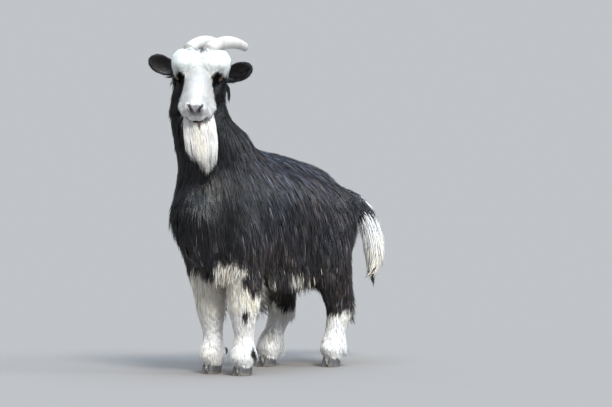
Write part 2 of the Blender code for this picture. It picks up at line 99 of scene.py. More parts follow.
# Where the coat lies which way: place, lie, depth and length of the hair (both in millimetres)
BODY_LIE = both_sides([
    (0.03, -0.24, 0.65, 0.7, 0.5, -0.5, 13, 62), (0.03, -0.13, 0.69, 0.75, 0.55, -0.4, 13, 62),
    (0.03, 0.02, 0.68, 0.75, 0.6, -0.4, 13, 62), (0.03, 0.17, 0.65, 0.7, 0.65, -0.4, 13, 62),
    (0.03, 0.28, 0.61, 0.5, 0.8, -0.5, 13, 58), (0.04, 0.34, 0.53, 0.25, 0.35, -1.0, 13, 55),
    (0.12, -0.22, 0.59, 0.1, 0.4, -1.0, 19, 72), (0.13, -0.08, 0.6, 0.1, 0.45, -1.0, 19, 76),
    (0.13, 0.07, 0.6, 0.1, 0.45, -1.0, 19, 76), (0.13, 0.2, 0.57, 0.05, 0.42, -1.0, 18, 72),
    (0.1, 0.3, 0.5, 0.0, 0.25, -1.0, 17, 66), (0.15, -0.2, 0.45, 0.0, 0.15, -1.0, 21, 76),
    (0.15, -0.04, 0.46, 0.0, 0.22, -1.0, 23, 82), (0.15, 0.07, 0.45, 0.0, 0.22, -1.0, 23, 82),
    (0.15, 0.19, 0.42, 0.0, 0.15, -1.0, 20, 74), (0.09, 0.31, 0.4, 0.0, 0.1, -1.0, 17, 66),
    (0.135, -0.2, 0.34, 0.0, 0.12, -1.0, 17, 66), (0.13, -0.05, 0.32, 0.0, 0.15, -1.0, 24, 78),
    (0.13, 0.07, 0.3, 0.0, 0.15, -1.0, 24, 78), (0.14, 0.17, 0.32, 0.0, 0.08, -1.0, 17, 62),
    (0.08, 0.25, 0.32, 0.0, 0.02, -1.0, 15, 55), (0.03, -0.15, 0.29, 0.05, 0.25, -1.0, 26, 55),
    (0.03, 0.0, 0.275, 0.05, 0.2, -1.0, 32, 62), (0.03, 0.13, 0.27, 0.05, 0.15, -1.0, 28, 55),
    (0.0, -0.42, 0.48, 0.0, 0.08, -1.0, 20, 78), (0.08, -0.38, 0.46, 0.04, 0.08, -1.0, 20, 78),
    (0.0, -0.39, 0.37, 0.0, 0.2, -1.0, 20, 70), (0.095, -0.32, 0.37, 0.02, 0.1, -1.0, 20, 66),
    (0.05, -0.29, 0.35, 0.0, 0.05, -1.0, 20, 46), (0.0, -0.42, 0.6, 0.0, 0.05, -1.0, 18, 80),
    (0.09, -0.36, 0.6, 0.02, 0.08, -1.0, 18, 78), (0.11, -0.27, 0.62, 0.02, 0.28, -1.0, 18, 74),
    (0.08, -0.19, 0.69, 0.15, 0.55, -1.0, 14, 66), (0.0, -0.19, 0.75, 0.0, 0.75, -1.0, 12, 62),
    (0.095, -0.32, 0.74, 0.0, 0.18, -1.0, 14, 66), (0.07, -0.27, 0.83, 0.0, 0.4, -1.0, 10, 55),
    (0.0, -0.4, 0.74, 0.0, 0.1, -1.0, 13, 70), (0.065, -0.262, 0.27, 0.0, -0.02, -1.0, 11, 54),
    (0.066, -0.16, 0.265, 0.22, 0.5, -0.85, 18, 78), (0.12, -0.21, 0.265, 0.08, 0.05, -1.0, 11, 54),
    (0.02, -0.21, 0.26, -0.05, 0.03, -1.0, 11, 50), (0.062, -0.252, 0.2, 0.0, 0.0, -1.0, 7, 30),
    (0.062, -0.165, 0.205, 0.12, 0.32, -0.95, 12, 48), (0.095, -0.21, 0.2, 0.06, 0.04, -1.0, 8, 36),
    (0.062, -0.21, 0.14, 0.0, 0.02, -1.0, 5, 24), (0.06, -0.217, 0.095, 0.0, -0.04, -1.0, 6, 28),
    (0.06, -0.237, 0.05, 0.0, -0.16, -1.0, 5, 16), (0.06, -0.172, 0.09, 0.04, 0.2, -1.0, 12, 36),
    (0.06, -0.182, 0.045, 0.0, 0.06, -1.0, 6, 18), (0.09, -0.212, 0.055, 0.1, 0.0, -1.0, 5, 18),
    (0.03, -0.212, 0.055, -0.1, 0.0, -1.0, 5, 18),
])
for side in SIDES:
    foot, hock = HIND_Y[side], HOCK_Y[side]
    shin = (foot - hock) / 0.13
    BODY_LIE += [[side * x, y, z, side * dx, dy, dz, deep, long] for x, y, z, dx, dy, dz, deep, long in (
        (0.09, hock + 0.03, 0.3, 0.0, 0.1, -1.0, 14, 60), (0.09, hock - 0.09, 0.33, 0.0, 0.0, -1.0, 14, 56),
        (0.135, hock - 0.03, 0.29, 0.05, 0.04, -1.0, 14, 60), (0.045, hock - 0.03, 0.29, 0.0, 0.04, -1.0, 13, 50),
        (0.09, hock + 0.045, 0.205, 0.1, 0.3, -0.95, 12, 52), (0.09, hock - 0.045, 0.19, 0.0, shin, -1.0, 8, 40),
        (0.088, (hock + foot) / 2, 0.14, 0.05, shin, -1.0, 7, 36), (0.086, foot - 0.01, 0.095, 0.0, -0.04, -1.0, 7, 32),
        (0.086, foot + 0.042, 0.09, 0.04, 0.18, -1.0, 12, 38), (0.085, foot - 0.03, 0.05, 0.0, -0.16, -1.0, 5, 16),
        (0.085, foot + 0.027, 0.045, 0.0, 0.06, -1.0, 6, 18))]
BODY_LIE += [list(row) for row in (
    (0.0, 0.33, 0.56, 0.1, 1.0, -0.1, 14, 55), (0.012, 0.365, 0.555, 0.25, 1.0, -0.35, 14, 75),
    (0.034, 0.41, 0.53, 0.3, 0.6, -0.8, 16, 95), (0.056, 0.446, 0.47, 0.18, 0.15, -1.0, 22, 105),
    (0.07, 0.458, 0.4, 0.06, 0.0, -1.0, 26, 105), (0.076, 0.458, 0.335, 0.02, -0.04, -1.0, 24, 80))]

HEAD_LIE = both_sides([
    (0.0, -0.095, 0.015, 0.0, -1.0, 0.0, 1.8, 8), (0.0, -0.04, 0.04, 0.0, -1.0, 0.0, 2.2, 10),
    (0.034, -0.06, 0.018, 0.25, -1.0, -0.2, 2.4, 10), (0.042, -0.082, -0.012, 0.8, -0.8, -0.25, 9, 20),
    (0.05, -0.074, -0.03, 1.0, -0.6, -0.35, 17, 29), (0.046, -0.092, -0.052, 0.35, -0.6, -0.75, 8, 18),
    (0.034, -0.108, -0.04, 0.5, -0.45, -0.8, 5, 13), (0.02, -0.126, -0.05, 0.2, -0.2, -1.0, 1.5, 4),
    (0.018, -0.124, -0.036, 0.3, -0.35, -0.9, 2.5, 7), (0.012, -0.135, -0.045, 0.2, -0.2, -1.0, 2, 5),
    (0.0, -0.14, -0.01, 0.0, -0.3, -1.0, 1, 2), (0.0, -0.115, -0.085, 0.0, -0.3, -0.9, 5, 24),
    (0.03, -0.06, -0.07, 0.02, -0.6, -0.8, 5, 20), (0.072, -0.03, -0.03, 0.12, -0.9, -0.4, 6, 20),
    (0.06, -0.034, 0.0, 0.1, -1.0, -0.25, 2.5, 7), (0.061, -0.012, 0.023, 0.45, -0.9, 0.35, 2.5, 6),
    (0.072, 0.012, 0.012, 0.4, 0.6, 0.6, 2.5, 7), (0.072, -0.008, -0.022, 0.3, -0.5, -0.8, 2.5, 7),
    (-0.07, -0.034, -0.054, -0.4, -0.45, -0.85, 17, 50), (0.074, 0.02, -0.05, 0.1, -0.8, -0.6, 13, 58),
    (0.05, 0.03, -0.085, 0.05, -0.7, -0.75, 12, 46), (0.0, 0.0, -0.09, 0.0, -0.7, -0.75, 10, 40),
    (0.06, 0.07, -0.03, 0.2, -0.5, -0.8, 14, 66), (0.0, -0.005, 0.058, 0.04, -1.0, 0.05, 6, 20),
    (0.046, -0.012, 0.046, 0.22, -1.0, -0.15, 8, 26), (0.074, 0.01, 0.02, 0.35, -0.9, -0.45, 8, 30),
    (0.022, 0.026, 0.066, 0.35, -1.0, 0.1, 8, 24), (0.06, 0.03, 0.058, 0.65, -0.8, 0.0, 9, 26),
    (0.075, 0.055, 0.02, 0.6, -0.3, -0.6, 14, 52), (0.0, 0.05, 0.062, 0.15, -1.0, 0.1, 7, 26),
    (0.0, 0.1, 0.02, 0.05, 0.3, -0.9, 10, 50), (0.05, 0.095, 0.0, 0.3, 0.0, -0.9, 12, 50),
])


def lie_at(points):
    """Lie, depth and length of the coat at the points, from the guides nearest to each."""
    rows = np.array(BODY_LIE + [[*HEAD @ Vector(row[:3]), *HEAD_AXES.to_3x3() @ Vector(row[3:6]), *row[6:]]
                                for row in HEAD_LIE])
    told = np.hstack([unit(rows[:, 3:6]), rows[:, 6:8] / 1000])
    found = np.empty((len(points), 5))
    for start in range(0, len(points), 20000):
        part = points[start:start + 20000]
        away = ((part[:, None, :] - rows[None, :, :3]) ** 2).sum(axis=2) + 1e-5
        weight = away ** -2.0
        found[start:start + 20000] = weight @ told / weight.sum(axis=1, keepdims=True)
    return found


def triangles_of(mesh):
    mesh.calc_loop_triangles()
    corners = np.empty(len(mesh.loop_triangles) * 3, np.int32)
    mesh.loop_triangles.foreach_get("vertices", corners)
    return corners.reshape(-1, 3)


def places_of(mesh):
    places = np.empty(len(mesh.vertices) * 3)
    mesh.vertices.foreach_get("co", places)
    return places.reshape(-1, 3)


def normals_of(places, triangles):
    a, b, c = (places[triangles[:, k]] for k in range(3))
    across = np.cross(b - a, c - a)
    summed = np.zeros_like(places)
    for k in range(3):
        for axis in range(3):
            summed[:, axis] += np.bincount(triangles[:, k], across[:, axis], len(places))
    return summed / np.maximum(np.linalg.norm(summed, axis=1, keepdims=True), 1e-12)


def relaxed(values, triangles, times, share=0.5):
    """Each vertex's value drawn towards the mean of its neighbours'."""
    pairs = np.vstack([triangles[:, (0, 1)], triangles[:, (1, 2)], triangles[:, (2, 0)]])
    pairs = np.vstack([pairs, pairs[:, ::-1]])
    number = np.bincount(pairs[:, 0], minlength=len(values))
    weight = share if np.ndim(share) == 0 else np.asarray(share)[:, None]
    for _ in range(times):
        mean = np.stack([np.bincount(pairs[:, 0], values[pairs[:, 1], k], len(values))
                         for k in range(values.shape[1])], axis=1) / np.maximum(number, 1)[:, None]
        values = values + (mean - values) * weight
    return values


def linked(name, data):
    """A new object in the scene that shows the data."""
    made = bpy.data.objects.new(name, data)
    bpy.context.scene.collection.objects.link(made)
    return made


def mesh_of(name, shape):
    """The bmesh as a mesh, after which the bmesh is gone."""
    mesh = bpy.data.meshes.new(name)
    shape.to_mesh(mesh)
    shape.free()
    return mesh


def put_vertices(mesh, places):
    mesh.vertices.foreach_set("co", np.asarray(places, np.float32).ravel())


def put_map(mesh, name, places):
    """A UV map with a place for each corner of each face."""
    mesh.uv_layers.new(name=name).data.foreach_set("uv", places.astype(np.float32).ravel())


def new_object(name, places, faces):
    mesh = bpy.data.meshes.new(name)
    mesh.from_pydata([], [], [])
    mesh.vertices.add(len(places))
    put_vertices(mesh, places)
    faces = np.asarray(faces, np.int32)
    mesh.loops.add(faces.size)
    mesh.loops.foreach_set("vertex_index", faces.ravel())
    mesh.polygons.add(len(faces))
    mesh.polygons.foreach_set("loop_start", np.arange(0, faces.size, faces.shape[1], dtype=np.int32))
    mesh.update(calc_edges=True)
    mesh.shade_smooth()
    return linked(name, mesh)


def modified(obj):
    """The object's mesh with its modifiers applied; the object is taken away."""
    graph = bpy.context.evaluated_depsgraph_get()
    mesh = bpy.data.meshes.new_from_object(obj.evaluated_get(graph), depsgraph=graph)
    bpy.data.objects.remove(obj)
    return mesh


def copy_of(node, grown, smoothing=0):
    """A welded copy of a node's mesh, moved out along its normals: its points and triangles."""
    made = bmesh.new()
    made.from_mesh(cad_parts[node].data)
    bmesh.ops.remove_doubles(made, verts=made.verts, dist=1e-5)
    mesh = mesh_of(node + "_copy", made)
    if smoothing:
        shape = linked("shape", mesh)
        shape.modifiers.new("round", "SUBSURF").levels = smoothing
        mesh = modified(shape)
    places, triangles = places_of(mesh), triangles_of(mesh)
    return places + normals_of(places, triangles) * grown, triangles


def bead(centre, radii):
    """An egg in the head's frame: its points and triangles in the goat's."""
    made = bmesh.new()
    bmesh.ops.create_icosphere(made, subdivisions=4, radius=1.0)
    place = HEAD @ Matrix.Translation(centre) @ Matrix.Diagonal((*radii, 1.0))
    bmesh.ops.transform(made, matrix=place, verts=made.verts)
    mesh = mesh_of("bead", made)
    return places_of(mesh), triangles_of(mesh)


def string_of_beads(stations, count=10):
    """Eggs so close along the stations (x, y, z, half width, half length, half height) that they make one form."""
    made = []
    for low, high in zip(stations, stations[1:]):
        for k in range(count):
            row = np.array(low) + (np.array(high) - np.array(low)) * k / count
            made.append(bead(row[:3], row[3:]))
    made.append(bead(stations[-1][:3], stations[-1][3:]))
    return made


def one_skin(shells, voxel):
    """All the closed shells in one mesh with an even grid of small faces."""
    starts = np.cumsum([0] + [len(places) for places, _ in shells[:-1]])
    places = np.vstack([p for p, _ in shells])
    triangles = np.vstack([t + s for (_, t), s in zip(shells, starts)])
    whole = new_object("whole", places, triangles)
    remesh = whole.modifiers.new("one_skin", "REMESH")
    remesh.mode = "VOXEL"
    remesh.voxel_size = voxel
    whole.modifiers.new("triangles", "TRIANGULATE")
    mesh = modified(whole)
    return places_of(mesh), triangles_of(mesh)


SEAL = 0.0012  # closes the narrow cuts between the nodes
BODY_GRID, SKIN_GRID = 0.0042, 0.0026
deep_shells = [copy_of(name, SEAL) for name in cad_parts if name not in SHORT_COAT]
body, body_faces = one_skin(deep_shells, BODY_GRID)
body = relaxed(body, body_faces, 8)
facing = relaxed(normals_of(body, body_faces), body_faces, 6)
body -= facing * lie_at(body)[:, 3:4]
body = relaxed(body, body_faces, 6)

# The head's form: the skull from the poll to the nose, the jaw, the poll, and each side's cheek, brow and muzzle
head_form = string_of_beads([
    (0, 0.062, 0.0, 0.038, 0.03, 0.044), (0, 0.03, 0.004, 0.05, 0.034, 0.048),
    (0, -0.004, 0.0, 0.051, 0.032, 0.049), (0, -0.036, -0.01, 0.043, 0.028, 0.044),
    (0, -0.07, -0.018, 0.036, 0.024, 0.037), (0, -0.098, -0.022, 0.033, 0.022, 0.034),
    (0, -0.113, -0.024, 0.03, 0.022, 0.031)])
head_form += string_of_beads([
    (0, 0.02, -0.052, 0.05, 0.03, 0.034), (0, -0.03, -0.058, 0.04, 0.028, 0.026),
    (0, -0.085, -0.062, 0.027, 0.024, 0.019), (0, -0.108, -0.07, 0.021, 0.019, 0.016)])
head_form += string_of_beads([
    (0, 0.045, -0.01, 0.048, 0.034, 0.046), (0.002, 0.034, -0.062, 0.05, 0.04, 0.04)], 4)
for side in SIDES:
    head_form += [
        bead((side * 0.04, 0.012, -0.034), (0.03, 0.05, 0.038)),
        bead((side * 0.04, 0.0, 0.022), (0.022, 0.026, 0.02)),
        bead((side * 0.024, -0.094, -0.038), (0.021, 0.03, 0.02)),
        bead((side * 0.011, -0.121, -0.043), (0.016, 0.016, 0.013)),
        bead((side * 0.014, -0.118, -0.014), (0.017, 0.018, 0.017)),
        bead((side * 0.05, -0.006, 0.0), (0.016, 0.016, 0.016)),
        bead((side * 0.024, 0.043, 0.042), (0.017, 0.02, 0.022)),
    ]
head_form += [
    bead((-0.052, -0.02, -0.068), (0.025, 0.036, 0.032)),  # the right cheek, against the neck
    bead((0, -0.112, -0.061), (0.019, 0.016, 0.01)),  # the lower lip and the chin
    bead((0, -0.1215, -0.0725), (0.014, 0.013, 0.0088)),
]
EAR_THIN, EAR_NEAR = 0.0003, 0.0035
ears = [copy_of("ear_" + name, -EAR_THIN, 2) for name in SIDES.values()]
skin, skin_faces = one_skin([(body, body_faces)] + head_form + ears, SKIN_GRID)
HEAD_BOX_LOW, HEAD_BOX_HIGH = np.array((-0.125, -0.52, 0.74)), np.array((0.17, -0.25, 1.05))


def tree_of(points):
    tree = KDTree(len(points))
    for k, p in enumerate(points):
        tree.insert(p, k)
    tree.balance()
    return tree


def near_ears(points, reach):
    """Which points lie within reach of the ears' own form."""
    near = ((points > HEAD_BOX_LOW) & (points < HEAD_BOX_HIGH)).all(axis=1)
    near[near] = [by_ear.find(p)[2] < reach for p in points[near]]
    return near


by_ear = tree_of(np.vstack([p for p, _ in ears]))
skin = relaxed(skin, skin_faces, 7, np.where(near_ears(skin, EAR_NEAR), 0.12, 0.5))


# The body's faces may be large, and the face's have to be small
COARSE_SHARE = 0.17
shape = new_object("hide", skin, skin_faces)
local = in_head(skin)
kept_fine = (local[:, 1] < 0.09) & (np.abs(local[:, 0]) < 0.17) & (local[:, 2] > -0.1)
shape.vertex_groups.new(name="coarse").add(np.where(~kept_fine)[0].tolist(), 1.0, "REPLACE")
fewer = shape.modifiers.new("fewer", "DECIMATE")
fewer.ratio = COARSE_SHARE
fewer.vertex_group = "coarse"
finer = bmesh.new()
finer.from_mesh(modified(shape))
FACE_LOW, FACE_HIGH = (-0.08, -0.15, -0.092), (0.08, 0.018, 0.036)
inverse = HEAD.inverted()
inside = {v for v in finer.verts if all(a < c < b for a, c, b in zip(FACE_LOW, inverse @ v.co, FACE_HIGH))}
bmesh.ops.subdivide_edges(finer, edges=[e for e in finer.edges if e.verts[0] in inside and e.verts[1] in inside],
                          cuts=1, use_grid_fill=True)
bmesh.ops.triangulate(finer, faces=finer.faces)
hide_mesh = mesh_of("hide", finer)
hide, hide_faces = places_of(hide_mesh), triangles_of(hide_mesh)

# Lids: the skin runs over each eyeball and ends in a thick margin round an opening like an almond
LID_OUT, LID_IN, LID_FOLD = 0.0172, 0.012, 0.0009
OPEN_LONG, OPEN_HIGH, OPEN_LOW = 44.0, 22.0, 19.0
GAZE = {side: Vector((side * 0.74, -0.58, 0.34)).normalized() for side in SIDES}


def lid_place(points, side):
    """Distance from the eye, angle off the gaze, and degrees outside the lids' opening, below zero inside it."""
    gaze = np.array(GAZE[side])
    ahead = np.array((0.0, -1.0, -0.1))
    ahead = unit(ahead - gaze * (ahead @ gaze))
    above = np.cross(ahead, gaze) * side
    above *= math.copysign(1.0, above[2])
    away = points - EYE_CENTRE[side]
    way, far = unit(away), np.linalg.norm(away, axis=1)
    off = np.degrees(np.arccos(np.clip(way @ gaze, -1, 1)))
    along = np.abs(np.degrees(np.arctan2(way @ ahead, way @ gaze)))
    up = np.degrees(np.arcsin(np.clip(way @ above, -1, 1)))
    edge = np.where(up > 0, OPEN_HIGH, OPEN_LOW) * np.clip(1 - (along / OPEN_LONG) ** 2, 0, 1) ** 0.75
    up, beyond = np.abs(up), np.maximum(along - OPEN_LONG, 0)
    gap = np.hypot(np.maximum(up - edge, 0), beyond)
    return far, off, np.where((beyond == 0) & (up < edge), up - edge, gap)


local = in_head(hide)
for side in SIDES:
    far, off, gap = lid_place(local, side)
    near = (far < 0.034) & (off < 105)
    centre = EYE_CENTRE[side]
    share = ramp(gap, 2.0, 30.0)
    margin = LID_OUT + LID_FOLD * (np.exp(-((gap - 3) / 3) ** 2) - np.exp(-((gap - 11) / 3.5) ** 2))
    wanted = np.where(gap < 0, LID_IN, margin * (1 - share) + far * share)
    fade = 1 - ramp(far, 0.024, 0.034) * (gap > 0)
    moved = far + (wanted - far) * fade
    local[near] = centre + (local - centre)[near] * (moved / np.maximum(far, 1e-9))[near, None]

facing = unit(relaxed(normals_of(local, hide_faces), hide_faces, 2))


def to_line(points, start, end):
    """Distance of each point from a straight line between two places."""
    start, end = np.array(start), np.array(end)
    along = np.clip((points - start) @ (end - start) / ((end - start) @ (end - start)), 0, 1)
    return np.linalg.norm(points - start - along[:, None] * (end - start), axis=1)


def mouth_height(x):
    return -0.0585 - 0.026 * (np.abs(x) / 0.036) ** 1.6


NOSTRIL = {side: ((side * 0.0205, -0.121, 0.004), (side * 0.0065, -0.138, -0.02)) for side in SIDES}
sink = np.zeros(len(local))  # how deep each place is pressed into the face
for side in SIDES:
    wing = to_line(local, *NOSTRIL[side])
    sink += 0.0095 * np.exp(-(wing / 0.0036) ** 2) - 0.0016 * np.exp(-((wing - 0.0075) / 0.003) ** 2)
philtrum = to_line(local, (0, -0.138, -0.02), (0, -0.134, -0.05))
sink += 0.0022 * np.exp(-(philtrum / 0.002) ** 2)
at_mouth = (local[:, 1] < -0.075) & (np.abs(local[:, 0]) < 0.04)
mouth = np.abs(local[:, 2] - mouth_height(local[:, 0]))  # how far above or below the mouth's line
sink += at_mouth * (0.0052 * np.exp(-(mouth / 0.0026) ** 2) - 0.001 * np.exp(-((mouth - 0.006) / 0.003) ** 2))
local -= facing * sink[:, None]
hide = out_of_head(local)
put_vertices(hide_mesh, hide)
hide_mesh.update()


def nose_pad(q):
    """1 on the bare skin of the nose, in the head's frame."""
    wide = 0.0245 - 0.3 * np.clip(-0.01 - q[:, 2], 0, 0.05)
    return ((1 - ramp(np.abs(q[:, 0]), wide - 0.002, wide + 0.002)) * (1 - ramp(q[:, 1], -0.122, -0.116))
            * (1 - ramp(q[:, 2], 0.002, 0.008)) * ramp(q[:, 2], -0.04, -0.03))


def lips(q):
    """1 on the bare rim of the lips, in the head's frame."""
    below = mouth_height(q[:, 0]) - q[:, 2]
    deep = 0.018 - 0.013 * np.clip(np.abs(q[:, 0]) / 0.018, 0, 1)
    return ((q[:, 1] < -0.085) * (np.abs(q[:, 0]) < 0.034) * (1 - ramp(below, deep - 0.001, deep + 0.001))
            * ramp(below, -0.005, -0.0035))


def noise(points, size, seed=0.0):
    """A smooth random value from -1 to 1 at each point."""
    q = points / size + seed
    turned = q @ np.array([[0.8, 0.36, -0.48], [-0.6, 0.48, -0.64], [0.0, 0.8, 0.6]]) * 1.7
    waves = np.sin(q[:, 0] + 1.7 * np.sin(q[:, 1] + q[:, 2])) * np.cos(q[:, 1] - 1.3 * np.sin(q[:, 2]))
    waves += np.sin(turned[:, 0] + 1.3 * np.sin(turned[:, 1])) * np.cos(turned[:, 2] + np.sin(turned[:, 0]))
    return np.clip(waves * 0.75, -1, 1)


def whiteness(points):
    """How white the goat's markings are at world points, 0 to 1."""
    x, y, z = points.T
    q = in_head(points)
    qx, qy, qz = q.T
    rough = noise(points, 0.012) * 0.01
    ragged = rough * 1.4 + noise(points * np.array((1.0, 1.0, 0.4)), 0.034, 2.0) * 0.02
    toward = x * 0.7986 + y * 0.6018
    # blaze, widening to the muzzle, and the white crown
    crown = ramp(qy + 0.5 * qz, 0.012, 0.026) * ramp(qz, 0.0, 0.02)
    wide = 0.041 + 0.024 * (1 - ramp(qy, -0.078, -0.044)) + 0.06 * crown
    face = 1 - ramp(np.abs(qx) + rough * 0.4, wide - 0.002, wide + 0.003)
    face *= 1 - ramp(qy - 0.25 * qz, 0.052, 0.062)
    jaw = (qz < -0.045) * (1 - ramp(np.abs(qx) + rough * 0.5, 0.034, 0.04)) * (1 - ramp(qy, -0.056, -0.048))
    face = np.where(qz < -0.045, np.maximum(face * (qy < -0.066) * (np.abs(qx) < 0.042), jaw), face)
    head_side = (points - np.array((0.034, -0.352, 0.846))) @ np.array((0.3, -0.64, 0.7)) > -0.015
    white = np.where(head_side & (qz > -0.088), face, 0.0)
    # forelegs: white below the elbow hair, higher in front and inside
    outer = ramp(np.abs(x), 0.075, 0.11)
    edge = 0.33 - 0.044 * outer + 0.014 * ramp(-y, 0.22, 0.26)
    fore = (y < -0.09) * (1 - ramp(z + ragged, edge - 0.005, edge + 0.005))
    foot = np.where(x > 0, HIND_Y[1], HIND_Y[-1])
    hind = (y > -0.02) * (np.abs(y - foot) < 0.16) * (1 - ramp(z + ragged, 0.206, 0.216))
    tuft = (np.hypot((toward + 0.122) / 0.05, (z - 0.362) / 0.02) + noise(points, 0.01) * 0.25 < 1) * (y < -0.2)
    belly = (np.hypot((x - 0.09) / 0.03, (y - 0.015) / 0.034) < 1) * (z < 0.34) * (noise(points, 0.013) > -0.2)
    brush = ramp(y + rough * 2 - 0.35 * np.clip(0.56 - z, 0, 1), 0.362, 0.378)
    brush *= (x > -0.05) & (y > 0.345) & (z < 0.6)
    # dark marks on the left foreleg, before the knee and beside the fetlock, and flecks round the fore coronets
    dark = np.hypot((toward + 0.073) / 0.01, (z - 0.207) / 0.022) < 1
    dark |= np.hypot((toward + 0.05) / 0.012, (z - 0.084) / 0.016) < 1
    dark &= (x > 0.02) & (y < -0.15) & (x * 0.6 - y * 0.8 > 0.19)
    dark |= (z > 0.018) & (z < 0.036) & (y < -0.2) & (noise(points * np.array((1, 1, 0.1)), 0.0035) > 0.35)
    return np.clip(white + fore + hind + tuft + belly + brush, 0, 1) * (1 - dark)


HIDE_DARK, HIDE_PALE = (0.02, 0.017, 0.017), (0.78, 0.72, 0.66)
NOSE_GREY, LIP_PINK, LID_BLACK = (0.31, 0.295, 0.315), (0.46, 0.25, 0.23), (0.012, 0.01, 0.01)
NOSTRIL_SHADE, MOUTH_SHADE, PHILTRUM_GREY = (0.006, 0.005, 0.005), (0.025, 0.012, 0.012), (0.05, 0.045, 0.05)
white = whiteness(hide)[:, None]
tint = np.array(HIDE_DARK) * (1 - white) + np.array(HIDE_PALE) * white
tint *= 1 + 0.12 * noise(hide, 0.02)[:, None]
bare_parts = [(nose_pad(local), NOSE_GREY), (lips(local), LIP_PINK)]
for side in SIDES:
    far, _, gap = lid_place(local, side)
    bare_parts.append(((far < 0.021) * (1 - ramp(gap, 5, 12)), LID_BLACK))
# painted shade: each nostril's slit drawn black, as the shade inside its opening
for side in SIDES:
    bare_parts.append((np.exp(-(to_line(local, *NOSTRIL[side]) / 0.0056) ** 4), NOSTRIL_SHADE))
# painted shade: a dark brown line along the mouth's crease, just below where the lips meet
gape = 0.003 + 0.001 * np.exp(-(local[:, 0] / 0.012) ** 2)
mouth_crease_shade = np.abs(local[:, 2] - mouth_height(local[:, 0]) + 0.0022) / (gape + 0.0012)
bare_parts += [(at_mouth * np.exp(-mouth_crease_shade ** 4), MOUTH_SHADE), (0.8 * np.exp(-(philtrum / 0.0026) ** 2), PHILTRUM_GREY)]
for share, colour in bare_parts:
    tint += (np.array(colour) - tint) * share[:, None]


def paint(mesh, name, colours):
    layer = mesh.attributes.new(name, "FLOAT_COLOR", "POINT")
    full = np.ones((len(colours), 4), np.float32)
    full[:, :3] = colours
    layer.data.foreach_set("color", full.ravel())


paint(hide_mesh, "skin_colour", tint)


def new_material(name, roughness, specular=0.5):
    """A material with its shader, and a way to add nodes to it."""
    made = bpy.data.materials.new(name)
    made.use_nodes = True
    shader = made.node_tree.nodes["Principled BSDF"]
    shader.inputs["Roughness"].default_value = roughness
    shader.inputs["Specular IOR Level"].default_value = specular
    return made, shader


def add_node(material, kind, **values):
    node = material.node_tree.nodes.new(kind)
    for name, value in values.items():
        if hasattr(node, name):
            setattr(node, name, value)
        else:
            node.inputs[name.replace("_", " ")].default_value = value
    return node


def join(material, *pairs):
    for start, end in pairs:
        material.node_tree.links.new(start, end)


def texture(material, kind, out="Fac", at=None, **values):
    """The output of a texture node, placed by the piece's own coordinates or by those given."""
    node = add_node(material, kind, **values)
    at = at or add_node(material, "ShaderNodeTexCoord").outputs["Object"]
    join(material, (at, node.inputs["Vector"]))
    return node.outputs[out]


def painted(material, name):
    return add_node(material, "ShaderNodeAttribute", attribute_name=name).outputs["Color"]


def added(material, first, second):
    node = add_node(material, "ShaderNodeMath", operation="ADD")
    join(material, (first, node.inputs[0]), (second, node.inputs[1]))
    return node.outputs[0]


def shaded(material, colour, value, **span):
    """The colour made darker and lighter by a value that is mapped to a new span."""
    shade = add_node(material, "ShaderNodeMapRange", **span)
    mixed = add_node(material, "ShaderNodeVectorMath", operation="SCALE")
    join(material, (value, shade.inputs["Value"]), (colour, mixed.inputs[0]),
         (shade.outputs["Result"], mixed.inputs["Scale"]))
    return mixed.outputs["Vector"]


def finish(material, shader, colour, height, strength, distance):
    """The shader's colour, and relief from a height."""
    bump = add_node(material, "ShaderNodeBump", Strength=strength, Distance=distance)
    join(material, (height, bump.inputs["Height"]), (bump.outputs["Normal"], shader.inputs["Normal"]),
         (colour, shader.inputs["Base Color"]))


skin_finish, shader = new_material("bare_skin", 0.52, 0.45)
shader.inputs["Subsurface Weight"].default_value = 0.08
pores = texture(skin_finish, "ShaderNodeTexVoronoi", "Distance", Scale=420.0)
wrinkle = texture(skin_finish, "ShaderNodeTexNoise", Scale=160.0, Detail=4.0)
toned = shaded(skin_finish, painted(skin_finish, "skin_colour"), wrinkle, To_Min=0.8, To_Max=1.12)
finish(skin_finish, shader, toned, added(skin_finish, pores, wrinkle), 0.5, 0.0006)
hide_mesh.materials.append(skin_finish)
hide_mesh.shade_smooth()
goat_hide = linked("hide", hide_mesh)
FLESH = [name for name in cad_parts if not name.startswith(("eye", "horn", "claw", "dewclaw", "beard"))]
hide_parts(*FLESH)
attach(goat_hide, "root")

# ---- Eyes ----------------------------------------------------------------------------------------------------------
# Each eyeball is a wet globe set behind the lids. Its iris is amber with darker rays and a dark rim, and its pupil is
# a level slot with round ends, as in every goat. A clear cornea bulges a little over it.

IRIS_SPAN, PUPIL_LONG, PUPIL_HIGH = 0.62, 0.34, 0.105  # as shares of the eyeball's radius
CORNEA_BULGE = 0.0007

eye_finish, shader = new_material("eye_wet", 0.2, 0.2)
shader.inputs["Coat Weight"].default_value = 1.0
shader.inputs["Coat Roughness"].default_value = 0.02
gaze_map = add_node(eye_finish, "ShaderNodeUVMap", uv_map="gaze")
split = add_node(eye_finish, "ShaderNodeSeparateXYZ")
join(eye_finish, (gaze_map.outputs["UV"], split.inputs[0]))


def eye_math(operation, first, second=None, third=None):
    node = add_node(eye_finish, "ShaderNodeMath", operation=operation)
    for k, value in enumerate((first, second, third)):
        if isinstance(value, (int, float)):
            node.inputs[k].default_value = value
        elif value is not None:
            join(eye_finish, (value, node.inputs[k]))
    return node.outputs[0]


across, aloft = eye_math("SUBTRACT", split.outputs["X"], 0.5), eye_math("SUBTRACT", split.outputs["Y"], 0.5)
slot_x = eye_math("MAXIMUM", eye_math("SUBTRACT", eye_math("ABSOLUTE", across), PUPIL_LONG - PUPIL_HIGH), 0.0)


def eye_distance(x, y):
    return eye_math("POWER", eye_math("ADD", eye_math("MULTIPLY", x, x), eye_math("MULTIPLY", y, y)), 0.5)


